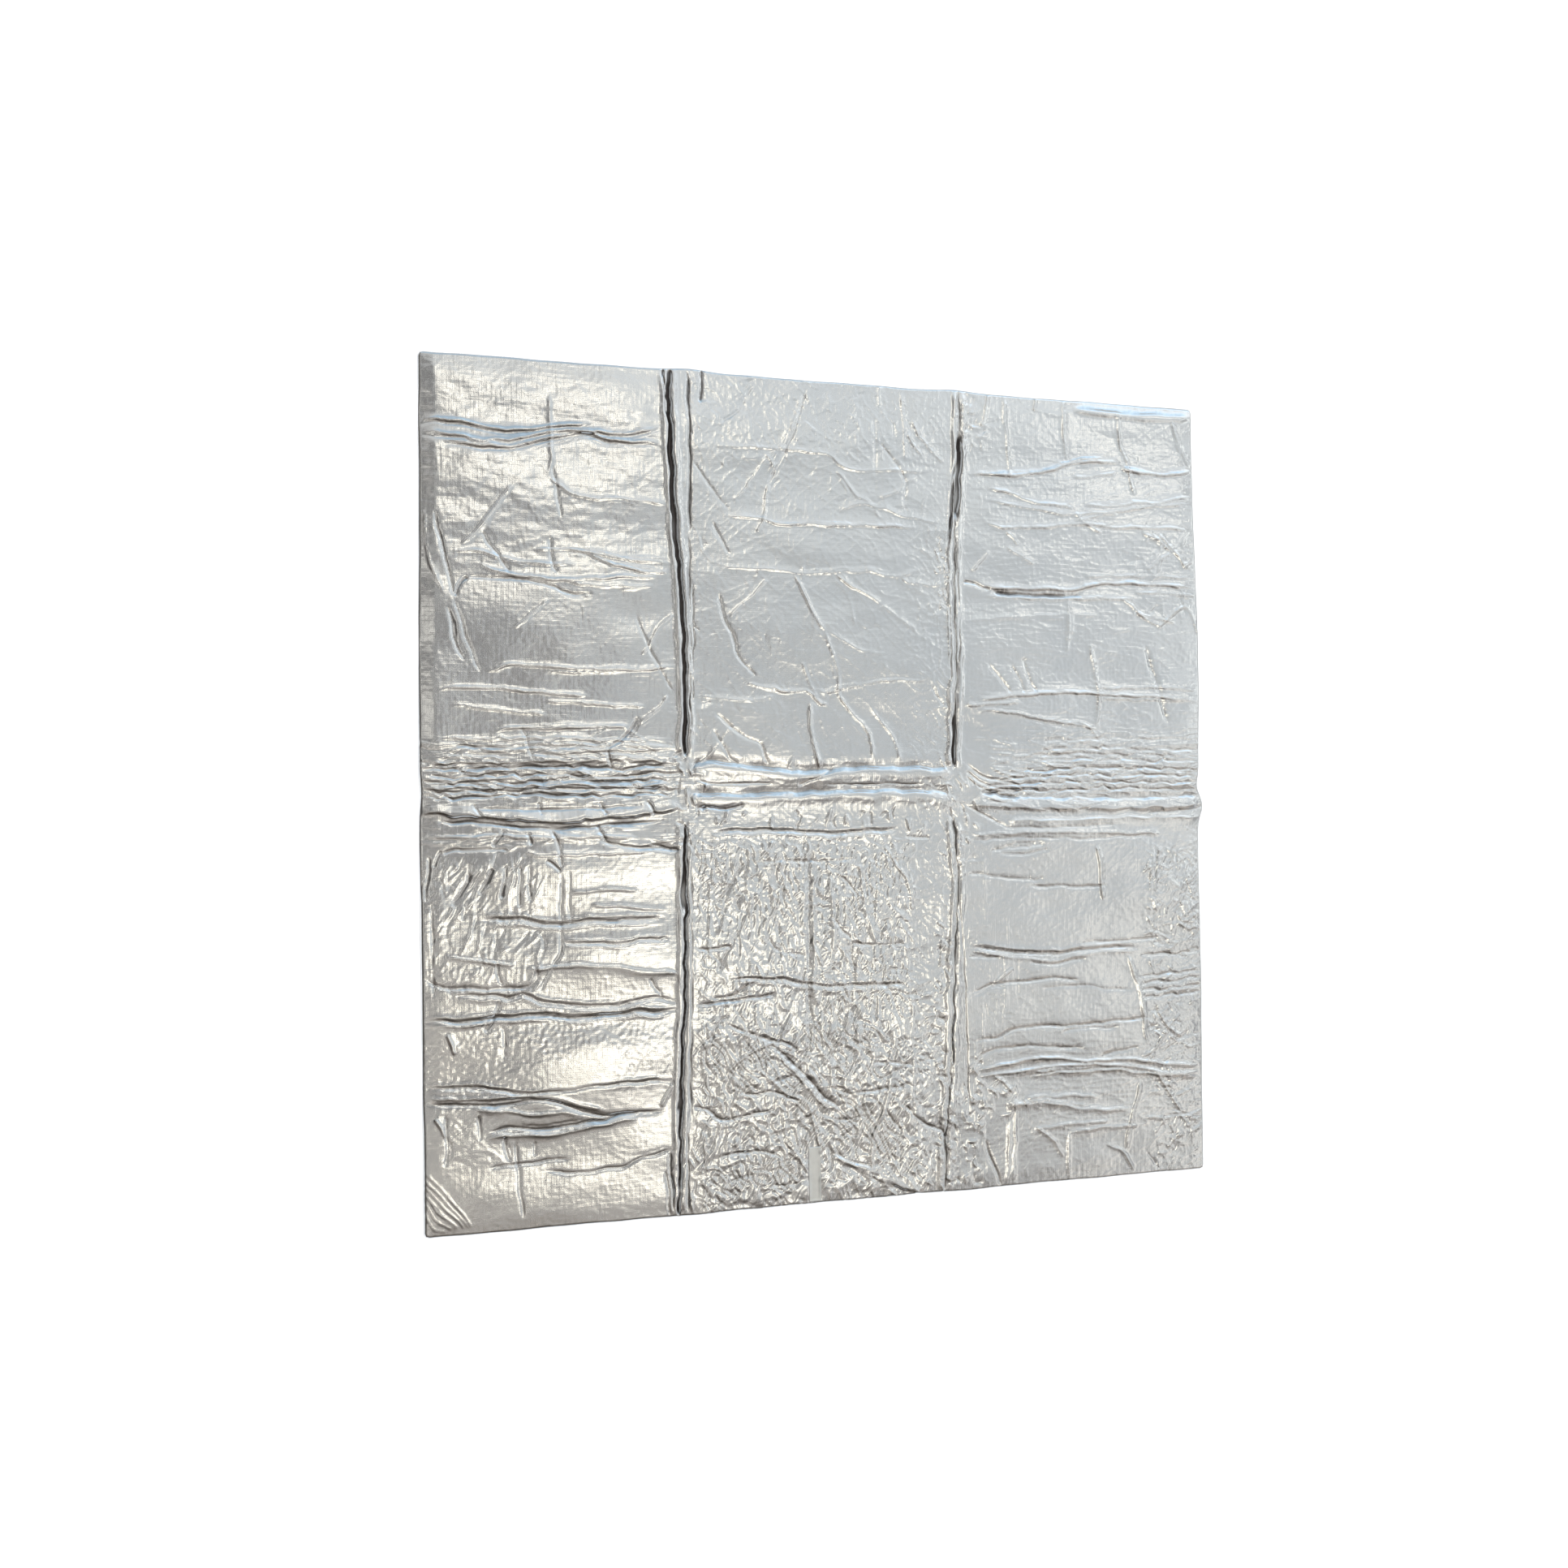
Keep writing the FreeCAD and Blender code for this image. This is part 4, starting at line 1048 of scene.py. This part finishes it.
def film_material():
    """Aluminised film with a fine woven backing that prints through it. Its colour carries painted shade,
    almost black, where the film lies deep in creases and slots, and those places are also rougher.
    """
    material, nodes, shader = new_material("aluminised_film")
    place = nodes.add("ShaderNodeTexCoord").outputs["Object"]
    split = nodes.add("ShaderNodeSeparateXYZ")
    nodes.link(place, split.inputs[0])
    hollow = nodes.add("ShaderNodeAttribute", attribute_name="hollow").outputs["Fac"]
    cloudy = nodes.noise(place, 5.0, 3.0)
    mottled = nodes.noise(place, 60.0, 4.0)
    tone = nodes.ramp(cloudy, [(0.30, (.81, .825, .835)), (0.70, (.885, .89, .885))])
    tone = nodes.mix(nodes.math("MULTIPLY", mottled, 0.10), tone, (.70, .71, .72))
    # painted shade: the colour goes almost black where the film lies deep in creases and slots
    painted_crease_shade = nodes.mix(nodes.math("MULTIPLY", hollow, 0.97), tone, (.050, .040, .036))
    nodes.link(painted_crease_shade, shader.inputs["Base Color"])
    rough = nodes.math("MULTIPLY_ADD", mottled, 0.12, 0.10)
    rough = nodes.math("MULTIPLY_ADD", hollow, 0.22, rough)
    nodes.link(rough, shader.inputs["Roughness"])
    shader.inputs["Metallic"].default_value = 1.0
    weave = nodes.math("ADD", sine_rows(nodes, split.outputs[0], 3.4 * MM),
                       sine_rows(nodes, split.outputs[1], 3.1 * MM))
    grain = nodes.noise(place, 320.0, 2.0)
    fine = nodes.math("MULTIPLY_ADD", grain, 2.4, nodes.math("MULTIPLY", weave, 0.35))
    normal = nodes.bump(fine, 0.25, 0.10 * MM)
    creasing = nodes.noise(place, 150.0, 4.0, 0.6)
    normal = nodes.bump(creasing, 0.19, 0.25 * MM, normal)
    nodes.link(normal, shader.inputs["Normal"])
    return material


def foam_material():
    """Blue closed-cell foam: dull skin with fine cells and a faint lighter bloom."""
    material, nodes, shader = new_material("closed_cell_foam")
    place = nodes.add("ShaderNodeTexCoord").outputs["Object"]
    cloudy = nodes.noise(place, 9.0, 4.0)
    cells = nodes.add("ShaderNodeTexVoronoi")
    cells.inputs["Scale"].default_value = 620.0
    nodes.link(place, cells.inputs["Vector"])
    tone = nodes.ramp(cloudy, [(0.32, (.036, .105, .33)), (0.68, (.062, .155, .42))])
    pores = nodes.math("SMOOTH_MIN", nodes.math("MULTIPLY", cells.outputs["Distance"], 1.4), 1.0, 0.2)
    tone = nodes.mix(nodes.math("MULTIPLY", pores, 0.35), tone, (.12, .24, .52))
    nodes.link(tone, shader.inputs["Base Color"])
    rough = nodes.math("MULTIPLY_ADD", cloudy, 0.15, 0.52)
    nodes.link(rough, shader.inputs["Roughness"])
    shader.inputs["Sheen Weight"].default_value = 0.12
    normal = nodes.bump(cells.outputs["Distance"], 0.5, 0.25 * MM)
    dents = nodes.noise(place, 45.0, 4.0)
    normal = nodes.bump(dents, 0.4, 0.8 * MM, normal)
    nodes.link(normal, shader.inputs["Normal"])
    return material


def tape_material():
    """Milky clear tape over the film."""
    material, nodes, shader = new_material("clear_tape")
    place = nodes.add("ShaderNodeTexCoord").outputs["Object"]
    cloudy = nodes.noise(place, 40.0, 3.0)
    tone = nodes.ramp(cloudy, [(0.3, (.70, .71, .69)), (0.7, (.80, .81, .78))])
    nodes.link(tone, shader.inputs["Base Color"])
    rough = nodes.math("MULTIPLY_ADD", cloudy, 0.15, 0.30)
    nodes.link(rough, shader.inputs["Roughness"])
    shader.inputs["Metallic"].default_value = 0.85
    normal = nodes.bump(nodes.noise(place, 150.0, 3.0), 0.3, 0.2 * MM)
    nodes.link(normal, shader.inputs["Normal"])
    return material


film = film_material()
foam = foam_material()
tape = tape_material()

# ---- the pieces ----

X_OF = {
    "left": (COLUMN_LINES[0], COLUMN_LINES[1]),
    "left_crease": (COLUMN_LINES[1], COLUMN_LINES[2]),
    "middle": (COLUMN_LINES[2], COLUMN_LINES[3]),
    "right_crease": (COLUMN_LINES[3], COLUMN_LINES[4]),
    "right": (COLUMN_LINES[4], COLUMN_LINES[5]),
}
WHOLE_ROW = {"front": (-EDGE_Y, FRONT_Y), "spine": (FRONT_Y, BACK_Y), "back": (BACK_Y, EDGE_Y)}
MIDDLE_ROW = {
    "front": (-EDGE_Y, FRONT_Y - SPINE_HALF),
    "spine": (FRONT_Y + SPINE_HALF, BACK_Y - SPINE_HALF),
    "back": (BACK_Y + SPINE_HALF, EDGE_Y),
}


def make_cell(name, x_range, y_range, nodes, place):
    """The film and the foam of one cell. place puts a piece on its body, or bakes its transform into its
    mesh.
    """
    film_obj = film_piece(f"film_{name}_skin", x_range, y_range, film)
    foam_obj = foam_piece(f"foam_{name}_core", x_range, y_range, foam)
    for obj, kind, slot in ((film_obj, "film", "aluminised_film"), (foam_obj, "foam", "closed_cell_foam")):
        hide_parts(*[f"{kind}_{node}" for node in nodes])
        place(obj)


def riding(body):
    """Move with one body."""
    return lambda obj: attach(obj, body)


def crushed(body):
    """Ride a body, with a mesh of its own."""
    def place(obj):
        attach(obj, body)
        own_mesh(obj)
    return place


def bending():
    """Stay in place, with the transform baked into the mesh."""
    return lambda obj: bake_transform(obj)


OUTER_ROW = {"front": (-EDGE_Y, FRONT_Y - CRUSHED_STRIP), "back": (BACK_Y + CRUSHED_STRIP, EDGE_Y)}
OUTER_STRIPS = {"front": (FRONT_Y - CRUSHED_STRIP, FRONT_Y), "back": (BACK_Y, BACK_Y + CRUSHED_STRIP)}

for row, y_range in WHOLE_ROW.items():
    for side in ("left", "right"):
        body = f"{row}_{side}"
        if row == "spine":
            make_cell(body, X_OF[side], y_range, [body], crushed(body))
        else:
            panel, strip = f"panel_{row}_{side}", f"spine_crease_{row}_{side}"
            make_cell(panel, X_OF[side], OUTER_ROW[row], [panel], riding(body))
            make_cell(strip, X_OF[side], OUTER_STRIPS[row], [strip], crushed(body))
        crease = f"{side}_crease_{row}"
        bend = bending()
        make_cell(crease, X_OF[f"{side}_crease"], y_range, [crease], bend)

for row, y_range in MIDDLE_ROW.items():
    panel = "spine_middle" if row == "spine" else f"panel_{row}_middle"
    make_cell(panel, X_OF["middle"], y_range, [panel], riding(f"{row}_middle"))

for row, crease_y, first, second in (
    ("front", FRONT_Y, "front_middle", "spine_middle"), ("back", BACK_Y, "spine_middle", "back_middle"),
):
    low, high = crease_y - SPINE_HALF, crease_y + SPINE_HALF
    name = f"spine_crease_{row}_middle"
    make_cell(name, X_OF["middle"], (low, high), [name], bending())


TAPE_POINTS = (15, 50)        # across and along
TAPE_THICKNESS = 0.25 * MM
TAPE_GAP = 0.15 * MM          # added to the CAD tape's height, to clear the film between net points


def repair_tape():
    """The strip of tape, laid over the film's own relief."""
    x = np.linspace(tape_low[0], tape_high[0], TAPE_POINTS[0])
    y = np.linspace(tape_low[1], tape_high[1], TAPE_POINTS[1])
    gx, gy = np.meshgrid(x, y, indexing="ij")
    lift = tape_high[2] - tape_low[2] + TAPE_GAP
    top = np.stack([gx, gy, sample(height_map, gx, gy) + lift], -1)
    under = top - [0, 0, TAPE_THICKNESS]
    obj = mesh_object("repair_tape_strip", *closed_block(top, under), tape)
    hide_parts("repair_tape")
    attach(obj, "front_middle")


repair_tape()

# ---- floor, light and camera ----


FLOOR_HALF = 14.0
FLOOR_DROP = 0.4 * MM      # the floor lies this far under the mat


def floor():
    """A plain pale floor."""
    corners = ((-1, -1), (1, -1), (1, 1), (-1, 1))
    points = np.array([(x * FLOOR_HALF, y * FLOOR_HALF, 0) for x, y in corners], float)
    material, nodes, shader = new_material("pale_floor")
    place = nodes.add("ShaderNodeTexCoord").outputs["Object"]
    tone = nodes.ramp(nodes.noise(place, 0.6, 2.0), [(0.3, (.93, .93, .93)), (0.7, (.95, .95, .95))])
    nodes.link(tone, shader.inputs["Base Color"])
    shader.inputs["Roughness"].default_value = 0.9
    obj = mesh_object("floor", points - [0, 0, FLOOR_DROP], np.array([[0, 1, 2, 3]]), material)


# soft panels and gaps overhead: direction (x, y), angular radius, colour, strength
SKY_PATCHES = (
    ((.15, .24), .09, (2.8, 2.6, 2.25), 0.9),
    ((.17, -.13), .085, (2.9, 2.68, 2.28), 0.9),
    ((.265, -.12), .12, (2.8, 2.6, 2.22), 0.85),
    ((.275, -.225), .05, (2.4, 2.2, 1.95), 0.8),
    ((.53, -.065), .06, (2.0, 1.86, 1.62), 0.7),
    ((.50, .228), .065, (2.5, 2.36, 2.12), 0.8),
    ((.18, .115), .09, (.47, .48, .49), 0.9),
    ((.10, .06), .07, (.15, .12, .115), 0.85),
    ((.19, -.03), .045, (.36, .35, .34), 0.8),
    ((.16, -.19), .05, (.32, .30, .29), 0.85),
    ((.05, -.05), .06, (.20, .18, .17), 0.8),
    ((.02, .22), .07, (.30, .29, .29), 0.8),
    ((.02, -.26), .08, (1.5, 1.4, 1.25), 0.7),
    ((-.12, .05), .12, (1.3, 1.25, 1.15), 0.8),
    ((.12, .66), .30, (.34, .42, .50), 0.8),
)
PLAIN_SKY = (.37, .07, .926)   # the patches are faint around this direction
PLAIN_HORIZON = (.50, .515, .53)   # the surround's colour low down, all the way round


def sky():
    """The surround that the film mirrors: blue towards the back, brown towards the front, patchy overhead
    on the left, and plain near the horizon."""
    world = bpy.data.worlds.new("surround")
    world.use_nodes = True
    bpy.context.scene.world = world
    nodes = Nodes(world.node_tree)
    background = nodes.add("ShaderNodeBackground")
    output = nodes.add("ShaderNodeOutputWorld")
    nodes.link(background.outputs[0], output.inputs[0])
    direction = nodes.add("ShaderNodeTexCoord").outputs["Generated"]
    split = nodes.add("ShaderNodeSeparateXYZ")
    nodes.link(direction, split.inputs[0])
    along_x = nodes.math("MULTIPLY_ADD", split.outputs[0], 0.5, 0.5)
    along_y = nodes.math("MULTIPLY_ADD", split.outputs[1], 0.5, 0.5)
    colour = nodes.ramp(along_y, [
        (0.05, (.04, .035, .03)), (0.15, (.10, .09, .08)), (0.25, (.30, .28, .265)), (0.33, (.50, .485, .47)),
        (0.40, (.495, .497, .496)), (0.50, (.548, .565, .574)), (0.60, (.58, .612, .634)),
        (0.66, (.73, .765, .785)),
        (0.74, (.92, .95, .97)), (0.82, (.74, .93, 1.10)), (0.95, (.60, .82, 1.04))])
    shade = nodes.ramp(along_x, [
        (0.10, (.14, .13, .12)), (0.30, (.24, .22, .21)), (0.42, (.64, .61, .59)), (0.53, (.74, .72, .70)),
        (0.58, (.87, .85, .83)), (0.63, (.97, .965, .955)), (0.72, (1.06, 1.07, 1.08)),
        (0.80, (1.30, 1.31, 1.32)), (0.92, (1.25, 1.26, 1.28))])
    patches = nodes.ramp(nodes.noise(direction, 6.5, 2.0, 0.6), [
        (0.38, (.20, .18, .175)), (0.46, (.74, .73, .72)), (0.54, (1.02, 1.01, .99)),
        (0.62, (2.1, 2.0, 1.85))])
    plain = nodes.add("ShaderNodeVectorMath", operation="DISTANCE")
    nodes.link(direction, plain.inputs[0])
    plain.inputs[1].default_value = PLAIN_SKY
    reach = nodes.ramp(plain.outputs["Value"], [(0.20, (.12, .12, .12)), (0.38, (.9, .9, .9))])
    reach = nodes.multiply(reach, nodes.ramp(along_y, [(0.64, (1, 1, 1)), (0.72, (.1, .1, .1))]))
    patches = nodes.mix(reach, (1, 1, 1), patches)
    shade = nodes.multiply(shade, patches)
    colour = nodes.multiply(colour, shade)
    for (x, y), radius, tint, strength in SKY_PATCHES:
        distance = nodes.add("ShaderNodeVectorMath", operation="DISTANCE")
        nodes.link(direction, distance.inputs[0])
        distance.inputs[1].default_value = (x, y, math.sqrt(1 - x * x - y * y))
        near = nodes.add("ShaderNodeMapRange", interpolation_type="SMOOTHSTEP")
        nodes.link(distance.outputs["Value"], near.inputs["Value"])
        near.inputs["From Min"].default_value = 0
        near.inputs["From Max"].default_value = radius
        near.inputs["To Min"].default_value = strength
        near.inputs["To Max"].default_value = 0
        colour = nodes.mix(near.outputs["Result"], colour, tint)
    height = nodes.ramp(split.outputs[2], [(0.34, (0, 0, 0)), (0.52, (1, 1, 1))])
    colour = nodes.mix(height, PLAIN_HORIZON, colour)
    nodes.link(colour, background.inputs["Color"])


LIGHT_PLACE = Vector((0.3, 0.2, 4.5))
LIGHT_SIZE = 6.0
LIGHT_POWER = 330


def fill_light():
    """A large soft light aimed at the middle of the mat, which the film doesn't mirror."""
    light = bpy.data.lights.new("fill_light", "AREA")
    light.shape = "RECTANGLE"
    light.size = LIGHT_SIZE
    light.size_y = LIGHT_SIZE
    light.energy = LIGHT_POWER
    obj = bpy.data.objects.new("fill_light", light)
    obj.location = LIGHT_PLACE
    obj.rotation_euler = (-LIGHT_PLACE).to_track_quat("-Z", "Y").to_euler()
    obj.visible_glossy = False
    bpy.context.collection.objects.link(obj)


CAMERA_PLACE = Vector((-1.165, -0.0575, 3.25))
CAMERA_TARGET = Vector((-0.1276, 0.0128, 0))
CAMERA_ROLL = math.radians(-0.68)
LENS = 36.02


def camera():
    """Above the mat and to its left, looking down at its middle, level with the mat's back edge."""
    data = bpy.data.cameras.new("camera")
    data.lens = LENS
    data.sensor_width = 36.0
    ahead = (CAMERA_TARGET - CAMERA_PLACE).normalized()
    right = ahead.cross(Vector((0, 1, 0))).normalized()
    up = right.cross(ahead)
    turn = Matrix((right, up, -ahead)).transposed().to_4x4() @ Matrix.Rotation(CAMERA_ROLL, 4, "Z")
    obj = bpy.data.objects.new("camera", data)
    obj.matrix_world = Matrix.Translation(CAMERA_PLACE) @ turn
    bpy.context.collection.objects.link(obj)
    bpy.context.scene.camera = obj


floor()
sky()
fill_light()
camera()
bpy.context.scene.view_settings.view_transform = "Standard"
